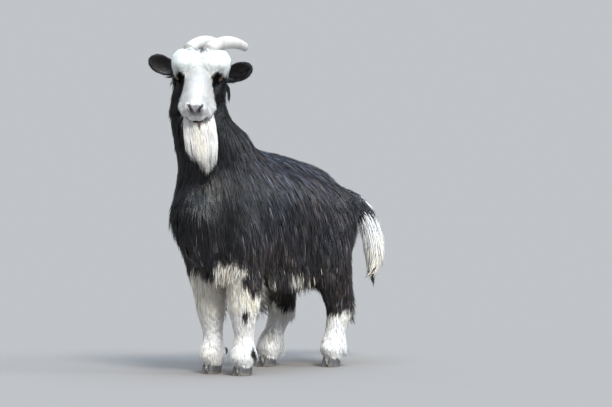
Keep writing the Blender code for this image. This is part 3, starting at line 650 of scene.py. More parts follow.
def eye_mix(share, low, high):
    """Two colours mixed by a share; each is a colour or a node's output."""
    node = add_node(eye_finish, "ShaderNodeMix", data_type="RGBA")
    for k, value in ((6, low), (7, high)):
        if isinstance(value, tuple):
            node.inputs[k].default_value = value
        else:
            join(eye_finish, (value, node.inputs[k]))
    join(eye_finish, (share, node.inputs[0]))
    return node.outputs[2]


pupil = eye_math("LESS_THAN", eye_distance(slot_x, aloft), PUPIL_HIGH)
iris_edge = add_node(eye_finish, "ShaderNodeMapRange", From_Min=IRIS_SPAN - 0.06, From_Max=IRIS_SPAN)
rays = texture(eye_finish, "ShaderNodeTexNoise", at=gaze_map.outputs["UV"], Scale=9.0, Detail=5.0)
amber = eye_mix(rays, (0.05, 0.022, 0.007, 1), (0.19, 0.095, 0.028, 1))
rimmed = eye_mix(iris_edge.outputs["Result"], amber, (0.018, 0.012, 0.01, 1))
join(eye_finish, (eye_distance(across, aloft), iris_edge.inputs["Value"]),
     (eye_mix(pupil, rimmed, (0.002, 0.002, 0.003, 1)), shader.inputs["Base Color"]))
for side, name in SIDES.items():
    gaze = np.array(GAZE[side])
    globe = bmesh.new()
    bmesh.ops.create_uvsphere(globe, u_segments=48, v_segments=32, radius=EYE_RADIUS)
    bmesh.ops.triangulate(globe, faces=globe.faces)
    mesh = mesh_of("eyeball_" + name, globe)
    points = places_of(mesh)
    ways = points / EYE_RADIUS
    bulge = CORNEA_BULGE * np.exp(-((1 - ways @ gaze) / 0.16) ** 2)
    level = unit(np.cross(HEAD_UP, gaze))
    seen = np.stack([0.5 + ways @ level, 0.5 + ways @ np.cross(gaze, level)], axis=1)
    seen[ways @ gaze < 0] += 3.0
    put_vertices(mesh, out_of_head(points * (1 + bulge / EYE_RADIUS)[:, None] + EYE_CENTRE[side]))
    corners = np.empty(len(mesh.loops), np.int32)
    mesh.loops.foreach_get("vertex_index", corners)
    put_map(mesh, "gaze", seen[corners])
    mesh.materials.append(eye_finish)
    mesh.shade_smooth()
    ball = linked("eyeball_" + name, mesh)
    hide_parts("eye_" + name)
    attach(ball, "root")

# ---- Horns ---------------------------------------------------------------------------------------------------------
# The horns are hollow sheaths of keratin over bony cores, which rise from the brow and sweep back side by side. They
# are pale and smooth with shallow growth rings, closer and deeper at the base, and they end blunt.

HORN_LENGTH, HORN_RISE, HORN_FALL = 0.295, 21.0, 8.0
HORN_WIDTH, HORN_DEPTH = 0.0172, 0.0207
HORN_SIDE = {1: 0.024, -1: 0.034}
HORN_SPLAY = {1: 17.0, -1: -14.0}
HORN_RINGS, HORN_SIDES, HORN_TIP = 150, 28, 0.0122
ROOT_RINGS, ROOT_BEND, ROOT_BACK, ROOT_DEEP = 10, 60.0, 0.015, 0.022  # the root, which bends down into the head

horn_finish, shader = new_material("horn_sheath", 0.42, 0.5)
shader.inputs["Subsurface Weight"].default_value = 0.06
fibre = texture(horn_finish, "ShaderNodeTexNoise", Scale=60.0, Detail=6.0)
stain = texture(horn_finish, "ShaderNodeTexNoise", Scale=14.0, Detail=3.0)
worn = add_node(horn_finish, "ShaderNodeMix", data_type="RGBA", blend_type="MULTIPLY")
worn.inputs[0].default_value = 0.55
tone = add_node(horn_finish, "ShaderNodeValToRGB")
tone.color_ramp.elements[0].position, tone.color_ramp.elements[0].color = 0.3, (0.52, 0.46, 0.38, 1)
tone.color_ramp.elements[1].position, tone.color_ramp.elements[1].color = 0.58, (0.95, 0.93, 0.9, 1)
join(horn_finish, (stain, tone.inputs["Fac"]), (painted(horn_finish, "growth"), worn.inputs[6]),
     (tone.outputs["Color"], worn.inputs[7]))
finish(horn_finish, shader, worn.outputs[2], fibre, 0.35, 0.0008)
for side, name in SIDES.items():
    place = HEAD @ Vector((side * HORN_SIDE[side], 0.051, 0.053))
    aside = math.radians(90 + HEAD_TURN - side * HORN_SPLAY[side])
    back = np.array((math.cos(aside), math.sin(aside), 0.0))
    lean = np.array((-back[1], back[0], 0.0))
    centres, place = [], np.array(place)
    for k in range(HORN_RINGS + 1):
        centres.append(place.copy())
        rise = math.radians(HORN_RISE - (HORN_RISE + HORN_FALL) * k / HORN_RINGS)
        place += (back * math.cos(rise) + np.array((0, 0, math.sin(rise)))) * HORN_LENGTH / HORN_RINGS
    points, tints = [], []
    turns = np.arange(HORN_SIDES) * 2 * math.pi / HORN_SIDES
    rows = [(k / HORN_RINGS, centres[k], 1.0, 0.0) for k in range(HORN_RINGS + 1)]
    for k in range(1, ROOT_RINGS + 1):
        share = k / ROOT_RINGS
        sunk = centres[0] + (back * ROOT_BACK - np.array((0, 0, ROOT_DEEP))) * share
        rows.insert(0, (0.0, sunk, 1.0, ROOT_BEND * share))
    tip_way = (centres[-1] - centres[-2]) / np.linalg.norm(centres[-1] - centres[-2])
    for angle in np.radians((15, 30, 45, 60, 75, 86)):
        rows.append((1.0, centres[-1] + tip_way * HORN_TIP * math.sin(angle), math.cos(angle), 0.0))
    for share, centre, small, steep in rows:
        taper = (1 - 0.34 * share**2) * small
        wave = math.sin(2 * math.pi * 17 * (share**0.75)) + 0.4 * math.sin(2 * math.pi * 41 * share + 1.0)
        ring = 1 + 0.009 * wave * (1 - 0.75 * share)
        rise = math.radians(HORN_RISE - (HORN_RISE + HORN_FALL) * share + steep)
        over = -back * math.sin(rise) + np.array((0, 0, math.cos(rise)))
        keel = 1 + 0.05 * np.cos(turns - math.pi / 2) ** 8
        points.append(centre + lean * (np.cos(turns) * HORN_WIDTH * taper * ring)[:, None]
                      + over * (np.sin(turns) * HORN_DEPTH * taper * ring * keel * 0.97)[:, None])
        pale = np.array((0.72, 0.71, 0.685)) * (0.92 + 0.035 * wave * (1 - 0.6 * share))
        pale = pale * (1 - 0.35 * math.exp(-share / 0.05)) * (1 - 0.15 * max(share - 0.85, 0) / 0.15)
        tints.append(np.tile(pale, (HORN_SIDES, 1)))
    count = len(points)
    points = np.vstack(points + [rows[0][1][None], rows[-1][1][None] + tip_way * 0.0001])
    tints = np.vstack(tints + [tints[0][:1], tints[-1][:1]])
    faces = []
    for k in range(count - 1):
        for j in range(HORN_SIDES):
            n = (j + 1) % HORN_SIDES
            a, b, c, d = k * HORN_SIDES + j, k * HORN_SIDES + n, (k + 1) * HORN_SIDES + n, (k + 1) * HORN_SIDES + j
            faces += [(a, b, c), (a, c, d)]
    for j in range(HORN_SIDES):
        n = (j + 1) % HORN_SIDES
        faces += [(count * HORN_SIDES, n, j),
                  (count * HORN_SIDES + 1, (count - 1) * HORN_SIDES + j, (count - 1) * HORN_SIDES + n)]
    sheath = new_object("horn_sheath_" + name, points, faces)
    outward = bmesh.new()
    outward.from_mesh(sheath.data)
    bmesh.ops.recalc_face_normals(outward, faces=outward.faces)
    outward.to_mesh(sheath.data)
    outward.free()
    paint(sheath.data, "growth", tints)
    sheath.data.materials.append(horn_finish)
    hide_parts("horn_" + name)
    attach(sheath, "root")

# ---- Hooves --------------------------------------------------------------------------------------------------------
# Each foot has two claws of dark horn, flat below and parted by a cleft, with fine rings round the wall and a rim worn
# pale along the ground. Two small dewclaws sit higher, behind the pastern.

hoof_finish, shader = new_material("hoof_horn", 0.46, 0.5)
grain = texture(hoof_finish, "ShaderNodeTexNoise", Scale=110.0, Detail=6.0)
layers = texture(hoof_finish, "ShaderNodeTexWave", Scale=60.0, Distortion=5.0, bands_direction="Z")
dusty = shaded(hoof_finish, painted(hoof_finish, "wear"), grain, From_Min=0.35, From_Max=0.7, To_Min=0.65, To_Max=1.35)
finish(hoof_finish, shader, dusty, added(hoof_finish, grain, layers), 0.28, 0.0007)
for node in [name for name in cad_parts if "claw" in name]:
    points, triangles = copy_of(node, 0.0, 2)
    low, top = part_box(node)
    points = np.array(low) + (points - points.min(axis=0)) / np.ptp(points, axis=0) * np.array(top - low)
    if node.startswith("claw"):
        points[:, 2] = np.where(points[:, 2] < 0.0012, 0.0, points[:, 2])
    horny = new_object("hoof_" + node, points, triangles)
    pale = np.exp(-(points[:, 2] - low.z) / 0.004) * (node[0] == "c")
    base = np.array((0.06, 0.062, 0.068)) * (1 + 0.25 * noise(points, 0.004, 3.0))[:, None]
    paint(horny.data, "wear", base + (np.array((0.42, 0.36, 0.28)) - base) * (pale * 0.75)[:, None])
    horny.data.materials.append(hoof_finish)
    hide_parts(node)
    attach(horny, "root")

# ---- Coat ----------------------------------------------------------------------------------------------------------
# Straight, coarse guard hair over the whole hide, in narrow locks that taper to a point and cling together in larger
# ones. It is short on the face and the shins, and hangs long on the neck, flanks, thighs, elbows, beard and tail.

coat_finish, shader = new_material("guard_hair", 0.36, 0.42)
shader.inputs["Sheen Weight"].default_value = 0.04
shader.inputs["Sheen Roughness"].default_value = 0.45
strand = add_node(coat_finish, "ShaderNodeUVMap", uv_map="strand").outputs["UV"]
streak = texture(coat_finish, "ShaderNodeTexNoise", at=strand, Scale=1.0, Detail=3.0)
toned = shaded(coat_finish, painted(coat_finish, "hair_colour"), streak,
               From_Min=0.3, From_Max=0.7, To_Min=0.82, To_Max=1.14)
finish(coat_finish, shader, toned, streak, 0.22, 0.0006)

# On the ears the hair fans out from their roots
EAR_ROOT = {1: (0.056, 0.03, -0.04), -1: (-0.066, 0.03, -0.018)}
EAR_HAIR, EAR_ROOT_SPAN = (0.003, 0.0125), 0.02
lies = lie_at(hide)
on_ear = near_ears(hide, EAR_HAIR[0]) * np.where(local[:, 0] > 0, 1, -1)
for side in SIDES:
    out = hide - np.array(HEAD @ Vector(EAR_ROOT[side]))
    far = np.linalg.norm(out, axis=1)
    on_ear[(on_ear == side) & (far < EAR_ROOT_SPAN)] = 0
    chosen = on_ear == side
    tip = np.argmax(far * chosen)
    lies[chosen, :3] = out[tip] / far[tip] + 0.35 * out[chosen] / far[chosen, None]
    lies[chosen, 3:] = EAR_HAIR
corner = hide[hide_faces]
face_middle = corner.mean(axis=1)
face_cross = np.cross(corner[:, 1] - corner[:, 0], corner[:, 2] - corner[:, 0])
face_area = np.linalg.norm(face_cross, axis=1) / 2
face_lie = lies[hide_faces].mean(axis=1)
face_ear = on_ear[hide_faces].max(axis=1)
hide_tree = BVHTree.FromPolygons(hide.tolist(), hide_faces.tolist())


def nearest_on_hide(points):
    """For each point: the nearest place on the hide, which way the hide faces there, and its face."""
    found = [hide_tree.find_nearest(p) for p in points.tolist()]
    return (np.array([f[0] for f in found]), np.array([f[1] for f in found]), np.array([f[2] for f in found]))


def laid(lie, ways):
    """The lie kept out of the skin: along it where it would run in, and free where it hangs off it."""
    return unit(lie - ways * np.minimum((lie * ways).sum(axis=1), 0)[:, None])


def roots_on(weights, count, dice):
    """Places on the hide's faces picked by weight, with the face of each."""
    picked = np.sort(dice.choice(len(weights), count, p=weights / weights.sum()))
    a, b = dice.random(count), dice.random(count)
    flip = a + b > 1
    a[flip], b[flip] = 1 - a[flip], 1 - b[flip]
    tri = corner[picked]
    return tri[:, 0] + (tri[:, 1] - tri[:, 0]) * a[:, None] + (tri[:, 2] - tri[:, 0]) * b[:, None], picked


def comb(roots, faces, length, steps, dice, wander):
    """Each lock's path, from the skin out to the coat's surface along the lie of the hair, and its outward ways."""
    ways = unit(face_cross[faces])
    place = roots - ways * 0.001
    heading = laid(face_lie[faces, :3], ways)
    swing = dice.normal(0, wander, (len(roots), 3))
    top = face_lie[faces, 3] * (0.35 + 0.62 * np.sqrt(dice.random(len(roots))))
    loose = dice.uniform(0.9, 2.1, len(roots))
    path, outward = [place], [ways]
    for k in range(1, steps + 1):
        share = k / steps
        heading = unit(laid(heading + swing * (0.4 + 0.6 * share), ways))
        place = place + heading * (length / steps)[:, None]
        on, ways, face = nearest_on_hide(place)
        gap = ((place - on) * ways).sum(axis=1)
        wanted = top * share ** 0.75 + 0.0005
        hangs = np.clip((heading * ways).sum(axis=1) * 2.5, 0, 1)
        limit = np.clip(gap, wanted, np.maximum(wanted, face_lie[face, 3] * loose))
        height = wanted * (1 - hangs) + limit * hangs
        place = on + ways * height[:, None]
        heading = unit(0.45 * heading + 0.55 * laid(face_lie[face, :3], ways))
        path.append(place)
        outward.append(ways)
    return np.stack(path, axis=1), np.stack(outward, axis=1)


def clumped(path, area, size, pull, dice):
    """The locks' ends drawn together round those of a few, size apart, and the clump that each lock is in."""
    count = len(path)
    leaders = dice.choice(count, max(int(area / size**2), 3), replace=False)
    tree = tree_of(path[leaders, 0])
    own = np.array([tree.find(p)[1] for p in path[:, 0].tolist()])
    steps = path.shape[1] - 1
    share = (np.arange(steps + 1) / steps) ** 1.3
    strength = pull * dice.uniform(0.55, 1.0, count)[:, None, None] * share[None, :, None]
    return path + (path[leaders[own]] - path) * strength, own


def strayed(path, far, dice):
    """The locks bent aside at random, most at their ends."""
    return path + dice.normal(0, far, (len(path), 1, 3)) * np.linspace(0, 1, path.shape[1])[None, :, None]


BLACKS = np.array([(0.006, 0.006, 0.008), (0.022, 0.022, 0.028), (0.06, 0.04, 0.028)])
WHITES = np.array([(0.9, 0.91, 0.93), (0.89, 0.88, 0.85), (0.88, 0.78, 0.56)])


def hair_tones(roots, white, dice, warmth):
    """A colour for each lock: black with grey and brown hairs in it, or white with cream ones. On black locks a
    blue-grey sheen along the top is painted, and the light grey hairs are in part painted glints.
    """
    count = len(roots)
    brown = np.clip(0.25 + 0.5 * noise(roots, 0.09) + 0.9 * ramp(-roots[:, 2], -0.55, -0.28), 0, 1)
    toss = dice.random(count)
    dark = BLACKS[0] + (BLACKS[1] - BLACKS[0]) * dice.random(count)[:, None]
    dark += (BLACKS[2] - dark) * (brown * (toss < 0.3))[:, None]
    # painted sheen: black locks high on the body, below the head, are tinted blue-grey, some more than others
    aloft = ramp(roots[:, 2], 0.48, 0.66) * (1 - ramp(roots[:, 2], 0.72, 0.78))
    dark += np.array((0.006, 0.009, 0.018)) * (aloft * (0.4 + 1.2 * (toss - 0.3) * (toss > 0.3)))[:, None]
    # a few locks light grey: grey hairs, in part painted glints on the black coat
    dark += (np.array((0.1, 0.1, 0.112)) - dark) * (toss > 0.94)[:, None]
    pale = WHITES[0] + (WHITES[1] - WHITES[0]) * dice.random(count)[:, None]
    pale += (WHITES[2] - pale) * (np.clip(warmth, 0, 1) * dice.random(count))[:, None]
    pale *= dice.uniform(0.92, 1.04, count)[:, None]
    return dark + (pale - dark) * white[:, None]


def patch_places(roots, kind):
    """Where each root lies on an unwrapping of that part of the hide: round it and along it, from 0 to 1."""
    if kind == "ring_y":
        round_at = np.arctan2(roots[:, 0], roots[:, 2] - roots[:, 2].mean())
        along = roots[:, 1]
    elif kind == "ring_z":
        round_at = np.arctan2(roots[:, 0] - roots[:, 0].mean(), roots[:, 1] - roots[:, 1].mean())
        along = roots[:, 2]
    else:
        q = in_head(roots)
        round_at = np.arctan2(q[:, 0], q[:, 2] + 0.02)
        along = q[:, 1]
    low, high = round_at.min(), round_at.max()
    u = (round_at - low) / max(high - low, 1e-6)
    v = (along - along.min()) / max(np.ptp(along), 1e-6)
    return np.stack([0.006 + 0.985 * u, 0.006 + 0.985 * v], axis=1)


PATCH = 0.003  # the size of a lock's own patch on the map


def weave(name, path, outward, width, tones, tip_tones, dice, unwrap, stands_for=()):
    """Locks as one piece: each a slim three-sided blade, closed at its root, that follows its path to a point."""
    count, rings = len(path), path.shape[1]
    along = unit(np.gradient(path, axis=1))
    side = unit(np.cross(along, outward))
    over = np.cross(side, along)
    share = np.arange(rings) / (rings - 1)
    shape = np.interp(share, (0, 0.25, 0.6, 1.0), (0.75 if rings == 2 else 0.4, 1.0, 0.82, 0.0))
    half = (width[:, None] / 2 * shape[None, :])[:, :, None]
    rim = [path + side * half, path + over * half * 0.75, path - side * half]
    points = np.stack([r[:, :-1] for r in rim], axis=2).reshape(count, -1, 3)
    points = np.concatenate([points, path[:, -1:]], axis=1)
    each = 3 * (rings - 1) + 1
    one = [(0, 2, 1)]
    for k in range(rings - 2):
        for j in range(3):
            a, b = 3 * k + j, 3 * k + (j + 1) % 3
            one += [(a, b, b + 3), (a, b + 3, a + 3)]
    last = 3 * (rings - 2)
    one += [(last, last + 1, each - 1), (last + 1, last + 2, each - 1), (last + 2, last, each - 1)]
    one = np.array(one)[:, ::-1]
    faces = (one[None] + (np.arange(count) * each)[:, None, None]).reshape(-1, 3)
    made = new_object(name, points.reshape(-1, 3), faces)
    # the locks are shaded as one coat: each vertex faces out from the skin, and a little to its own side of the lock
    rounded = [side * 0.6 + over * 0.8, over, over * 0.8 - side * 0.6]
    facing = np.stack([r[:, :-1] for r in rounded], axis=2).reshape(count, -1, 3)
    facing = unit(np.concatenate([facing, over[:, -1:]], axis=1).reshape(-1, 3))
    made.data.normals_split_custom_set_from_vertices(facing.tolist())

    # painted shade: each lock darker towards its root, where the hairs shade one another; black locks far more than
    # white
    fade = np.concatenate([np.repeat(share[:-1], 3), [1.0]])
    blend = fade[None, :, None] ** 1.5
    deep = np.where(tones.mean(axis=1) > 0.3, 0.9, 0.35)[:, None, None]
    rise = np.minimum(fade * 2.5, 1)[None, :, None]
    full = tones[:, None] * (deep + (1 - deep) * rise) * (1 - blend) + tip_tones[:, None] * blend
    paint(made.data, "hair_colour", full.reshape(-1, 3))

    # the strand map runs across and along a lock, and the patch map gives each lock a small patch of its own
    across = np.append(np.tile([0.0, 0.5, 1.0], rings - 1), 0.5)
    length = np.linalg.norm(np.diff(path, axis=1), axis=2).sum(axis=1)
    u = across[None] * (width / 0.0009)[:, None] + dice.random(count)[:, None] * 90
    v = fade[None] * (length / 0.03)[:, None] + dice.random(count)[:, None] * 90
    strands = np.stack([u, v], axis=2).reshape(-1, 2)
    put_map(made.data, "strand", strands[faces.ravel()])
    corners = (np.stack([across - 0.5, fade - 0.5], axis=1) * PATCH)[one].reshape(-1, 2)
    wraps = across[one]
    turn = (np.ptp(wraps, axis=1) > 0.9)[:, None] & (wraps < 0.1)
    corners[turn.ravel(), 0] += PATCH * 1.4
    patches = np.clip(patch_places(path[:, 0], unwrap)[:, None] + corners[None], 0.0005, 0.9995)
    put_map(made.data, "OFBake", patches)
    made.data.materials.append(coat_finish)
    if stands_for:
        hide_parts(*stands_for)
    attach(made, "root")


def part_of(points):
    """Which length of the goat each point belongs to, by name."""
    x, y, z = points.T
    q = in_head(points)
    before_head = (points - np.array((0.03, -0.352, 0.846))) @ np.array((0.26, -0.66, 0.7)) > -0.004
    before_neck = (points - np.array((0.0, -0.257, 0.645))) @ np.array((0.0, -0.45, 0.89)) > 0
    part = np.char.add(np.where(y > 0, "flank_rear_", "flank_fore_"), np.where(x > 0, "left", "right"))
    part[before_neck & (z > 0.56)] = "neck"
    part[(y > 0.335) & (x > -0.04) & (z < 0.6) & ((y > 0.36) | (z > 0.53))] = "tail"
    part[before_head & (z > 0.6)] = "head"
    for side, name in SIDES.items():
        here = x * side > 0
        part[here & (z < 0.285) & (y < -0.11)] = "foreleg_" + name
        part[here & (z < 0.255) & (y > 0.0)] = "hindleg_" + name
    on_head = part == "head"
    part[on_head & ((q[:, 1] > 0.004) | (q[:, 2] < -0.062) | (np.abs(q[:, 0]) > 0.07))] = "cheeks"
    part[on_head & (np.abs(q[:, 0]) > 0.028) & (q[:, 1] < -0.045) & (q[:, 1] > -0.114) & (q[:, 2] < 0.002)] = "muzzle"
    return part


face_part = part_of(face_middle)
face_part[face_ear != 0] = "ears"
face_local = in_head(face_middle)
bare = nose_pad(face_local) + lips(face_local)
for side in SIDES:
    far, off, gap = lid_place(face_local, side)
    bare += (far < 0.0225) * (gap < 11) * (off < 85)
    bare += to_line(face_local, *NOSTRIL[side]) < 0.0062
bare += to_line(face_local, (0, -0.138, -0.02), (0, -0.134, -0.056)) < 0.0024
bare += face_middle[:, 2] < 0.03
bare = np.clip(bare, 0, 1)

# Locks, steps, root width of a 75 mm lock (mm), clump size (m), pull of the clumps, wander, way of unwrapping
FLANK, FORELEG = (12200, 2, 2.8, 0.01, 0.62, 0.06, "ring_y"), (8000, 2, 2.3, 0.008, 0.5, 0.06, "ring_z")
HINDLEG = (7000, 2, 2.4, 0.009, 0.5, 0.06, "ring_z")
COAT = {
    "flank_fore_left": FLANK, "flank_fore_right": FLANK, "flank_rear_left": FLANK, "flank_rear_right": FLANK,
    "neck": (13500, 2, 2.7, 0.01, 0.6, 0.05, "ring_z"),
    "foreleg_left": FORELEG, "foreleg_right": FORELEG, "hindleg_left": HINDLEG, "hindleg_right": HINDLEG,
    "head": (24500, 1, 2.9, 0.008, 0.1, 0.05, "head"),
    "muzzle": (5000, 2, 2.0, 0.006, 0.35, 0.09, "head"),
    "cheeks": (6500, 2, 2.5, 0.01, 0.5, 0.07, "head"),
    "ears": (8500, 1, 2.6, 0.008, 0.2, 0.07, "head"),
    "tail": (2600, 2, 2.6, 0.012, 0.45, 0.06, "ring_z"),
}
CLUMP_TONES, CLUMP_ODDS = (0.35, 0.7, 1.4, 3.0), (0.3, 0.3, 0.25, 0.15)
for number, (name, (count, steps, wide, clump, pull, wander, unwrap)) in enumerate(COAT.items()):
    dice = np.random.default_rng(100 + number)
    mine = (face_part == name) * (1 - bare)
    long = face_lie[:, 4]
    roots, faces = roots_on(mine * face_area * (long / 0.05) ** -1.2, count, dice)
    length = long[faces] * dice.uniform(0.8, 1.3, count)
    path, outward = comb(roots, faces, length, steps, dice, wander)
    path, own = clumped(path, (mine * face_area).sum(), clump, pull, dice)
    wave = dice.normal(0, 0.001, (count, 1, 3)) * np.sin(np.linspace(0, 2.6, steps + 1))[None, :, None]
    path += wave * (length / 0.07)[:, None, None]
    path[:, :, 2] = np.maximum(path[:, :, 2], 0.002)
    white = (whiteness(roots) > dice.uniform(0.35, 0.65, count)).astype(float)
    warm = np.clip(0.2 + 0.25 * noise(roots, 0.03) + 0.75 * ramp(roots[:, 2], 0.15, 0.27) * (roots[:, 2] < 0.5), 0, 1)
    tones = hair_tones(roots, white, dice, warm)
    each_clump = dice.choice(CLUMP_TONES, own.max() + 1, p=CLUMP_ODDS)[own][:, None]
    tones *= each_clump * (1 - white[:, None]) + (0.97 + 0.02 * each_clump) * white[:, None]
    # painted shade: black locks darker on the chest, the front of the neck and the head, where less light falls
    shaded = ramp(-roots[:, 1], 0.19, 0.32) * ramp(roots[:, 2], 0.38, 0.52) * (1 - white)
    tones *= 1 - 0.78 * shaded[:, None]
    tips = tones * dice.uniform(0.9, 1.25, count)[:, None]
    width = wide / 1000 * (length / 0.075) ** 0.35 * dice.uniform(0.7, 1.3, count)
    weave("coat_" + name, path, outward, width, tones, tips, dice, unwrap)

# ---- Feathers ------------------------------------------------------------------------------------------------------
# The loose fringes of the coat: along the belly and brisket, behind the elbows and knees, below the hocks, and behind
# the fetlocks, where they hang over the dewclaws. They are rooted in the hide and their tips hang free.

# Each fringe: where it begins and ends, its spread, the way it hangs, its length and its number of locks
FRINGES = [((side * 0.11, -0.1, 0.3), (side * 0.105, 0.09, 0.285), 0.016, (side * 0.04, 0.1, -1.0), 0.062, 600)
           for side in SIDES]
FRINGES += [((side * 0.05, -0.13, 0.29), (side * 0.05, 0.12, 0.275), 0.018, (side * 0.02, 0.08, -1.0), 0.052, 420)
            for side in SIDES]
FRINGES += [
    ((-0.07, -0.29, 0.34), (0.07, -0.29, 0.34), 0.014, (0.0, -0.03, -1.0), 0.052, 480),
    ((0.12, 0.11, 0.3), (0.12, 0.15, 0.31), 0.012, (0.03, 0.0, -1.0), 0.05, 160),
    ((-0.12, 0.04, 0.3), (-0.12, 0.07, 0.31), 0.012, (-0.03, 0.0, -1.0), 0.05, 160),
]
for side, foot, hock in ((side, HIND_Y[side], HOCK_Y[side]) for side in SIDES):
    FRINGES += [
        ((side * 0.088, -0.166, 0.285), (side * 0.074, -0.168, 0.215), 0.007, (side * 0.45, 0.62, -0.85), 0.066, 220),
        ((side * 0.05, -0.168, 0.275), (side * 0.056, -0.17, 0.205), 0.007, (side * 0.05, 0.6, -0.85), 0.056, 160),
        ((side * 0.052, -0.176, 0.105), (side * 0.07, -0.176, 0.098), 0.009, (side * 0.05, 0.24, -1.0), 0.058, 260),
        ((side * 0.092, -0.186, 0.1), (side * 0.092, -0.196, 0.092), 0.006, (side * 0.12, 0.12, -1.0), 0.05, 120),
        ((side * 0.036, -0.186, 0.1), (side * 0.036, -0.196, 0.092), 0.006, (-side * 0.08, 0.12, -1.0), 0.05, 120),
        ((side * 0.098, hock + 0.04, 0.255), (side * 0.09, hock + 0.044, 0.185), 0.008,
         (side * 0.18, 0.34, -0.95), 0.058, 240),
        ((side * 0.078, foot + 0.036, 0.108), (side * 0.096, foot + 0.036, 0.1), 0.009,
         (side * 0.05, 0.2, -1.0), 0.062, 260),
        ((side * 0.116, foot + 0.02, 0.1), (side * 0.116, foot + 0.01, 0.09), 0.006,
         (side * 0.12, 0.1, -1.0), 0.05, 120),
    ]
dice = np.random.default_rng(44)
paths, outwards = [], []
for begin, end, spread, hangs, long, count in FRINGES:
    along = dice.random((count, 1))
    spots = np.array(begin) * (1 - along) + np.array(end) * along + dice.normal(0, spread, (count, 3))
    on, ways, faces = nearest_on_hide(spots)
    hanging = unit(np.array(hangs) + dice.normal(0, 0.07, (count, 3)))
    reach = long * dice.uniform(0.45, 1.15, count)[:, None]
    off = np.clip(face_lie[faces, 3], 0.004, 0.02)[:, None] * dice.uniform(0.3, 1.0, (count, 1))
    steps = [on - ways * 0.001]
    for t in (0.33, 0.67, 1.0):
        sag = np.array((0, 0, -0.12)) * reach * t * t
        steps.append(on + ways * off * math.sin(t * 1.4) + hanging * reach * t + sag)
    paths.append(np.stack(steps, axis=1))
    outwards.append(np.repeat(ways[:, None], 4, axis=1))
path, outward = np.concatenate(paths), np.concatenate(outwards)
path, _ = clumped(path, 0.14, 0.012, 0.55, dice)
path[:, :, 2] = np.maximum(path[:, :, 2], 0.0015)
count = len(path)
white = (whiteness(path[:, 0]) > dice.uniform(0.3, 0.7, count)).astype(float)
belly_tufts = (np.abs(path[:, 0, 1]) < 0.12) & (noise(path[:, 0], 0.016, 5.0) > 0.62) & (path[:, 0, 0] > 0.04)
white = np.maximum(white, belly_tufts)
warm = np.clip(ramp(path[:, 0, 2], 0.13, 0.27) + dice.normal(0, 0.15, count), 0, 1)
tones = hair_tones(path[:, 0], white, dice, warm)
weave("coat_feathers", path, outward, dice.uniform(0.0016, 0.0028, count), tones, tones * 1.05, dice, "ring_y")

# ---- Forelock ------------------------------------------------------------------------------------------------------
# A thick white mop that is rooted between and before the horns and parts in the middle. Its long hair falls over the
# brow as far as the eyes and out over the temples, with a few black hairs along its outer edge.

FORELOCK_STEPS = 4
count = 4300
dice = np.random.default_rng(41)
middle = {1: np.array((0.043, 0.026, 0.034)), -1: np.array((-0.032, 0.026, 0.034))}
radii = np.array((0.05, 0.05, 0.038))
crown_way, front_way = np.array((0.0, 0.86, 0.51)), np.array((0.0, -0.51, 0.86))
side = np.where(dice.random(count) < 0.52, 1.0, -1.0)
centre = np.where(side[:, None] > 0, middle[1], middle[-1])
swing = np.radians(dice.uniform(-62, 112, count))
start = np.radians(8 + 84 * dice.random(count) ** 0.85)
finish_at = np.radians(np.interp(np.degrees(swing), (-62, -20, 30, 70, 112), (168, 166, 152, 148, 150)))
finish_at += np.radians(8) - np.radians(44) * dice.random(count) ** 1.5
lift = dice.random(count) ** 0.5
bend = math.radians(96)


def round_crown(side, polar, turn):
    """The way out of a crown's middle, at an angle from its top and a turn from its front."""
    return (crown_way * np.cos(polar)[:, None] + front_way * (np.sin(polar) * np.cos(turn))[:, None]
            + np.array((1.0, 0, 0)) * (side * np.sin(polar) * np.sin(turn))[:, None])


path = np.empty((count, FORELOCK_STEPS + 1, 3))
outward = np.empty_like(path)
for k in range(FORELOCK_STEPS + 1):
    t = k / FORELOCK_STEPS
    polar = start + (finish_at - start) * t
    turn = swing * (1 - 0.22 * t)
    way, over_bend = round_crown(side, polar, turn), round_crown(side, np.full(count, bend), turn)
    rise = min(t * 2.6, 1) ** 0.6
    reach = (0.64 + 0.1 * lift) * (1 - rise) + (0.852 + 0.168 * lift) * rise
    reach *= 1 - 0.2 * ramp(np.degrees(polar), 100, 148) * (1.35 - 0.6 * lift)
    local_place = centre + way * radii * reach[:, None]
    hanging = (ramp(np.degrees(swing), 48, 84) * (polar > bend))[:, None]
    hung = centre + over_bend * radii * reach[:, None] - HEAD_UP * (0.046 * (polar - bend))[:, None]
    path[:, k] = out_of_head(local_place + (hung - local_place) * hanging)
    outward[:, k] = unit(way / radii * (1 - hanging) + over_bend / radii * hanging) @ HEAD_OUT[:3, :3].T
settled = 1 - ramp(np.abs(np.degrees(swing)), 48, 84)
for k, share in ((FORELOCK_STEPS - 2, 0.35), (FORELOCK_STEPS - 1, 0.8), (FORELOCK_STEPS, 0.97)):
    on, ways, _ = nearest_on_hide(path[:, k])
    brow = on + ways * (0.0018 + 0.0065 * lift * (1.6 - share))[:, None]
    weight = share * settled * ramp(np.degrees(start + (finish_at - start) * k / FORELOCK_STEPS), 70, 112)
    path[:, k] += (brow - path[:, k]) * weight[:, None]
    outward[:, k] = unit(outward[:, k] * (1 - weight[:, None]) + ways * weight[:, None])
path, _ = clumped(path, 0.028, 0.009, 0.45, dice)
path = strayed(path, 0.001, dice)
edge = (np.degrees(swing) > 88) & (dice.random(count) < 0.5)
white = np.where(edge, 0.0, 1.0)
brow = ramp(-in_head(path[:, -1])[:, 1], 0.0, 0.02)
tones = hair_tones(path[:, 0], white, dice, np.clip(0.05 + 0.35 * brow + dice.normal(0, 0.12, count), 0, 1))
tones *= 1 - np.array((0.16, 0.1, 0.07)) * white[:, None]
weave("coat_forelock", path, outward, dice.uniform(0.0011, 0.002, count), tones, tones * 1.04, dice, "head")

# ---- Ear lock ------------------------------------------------------------------------------------------------------
# One thin black lock of longer hair that hangs below the root of the left ear, apart from the cheek. Its hairs start
# side by side and end in points at different heights.

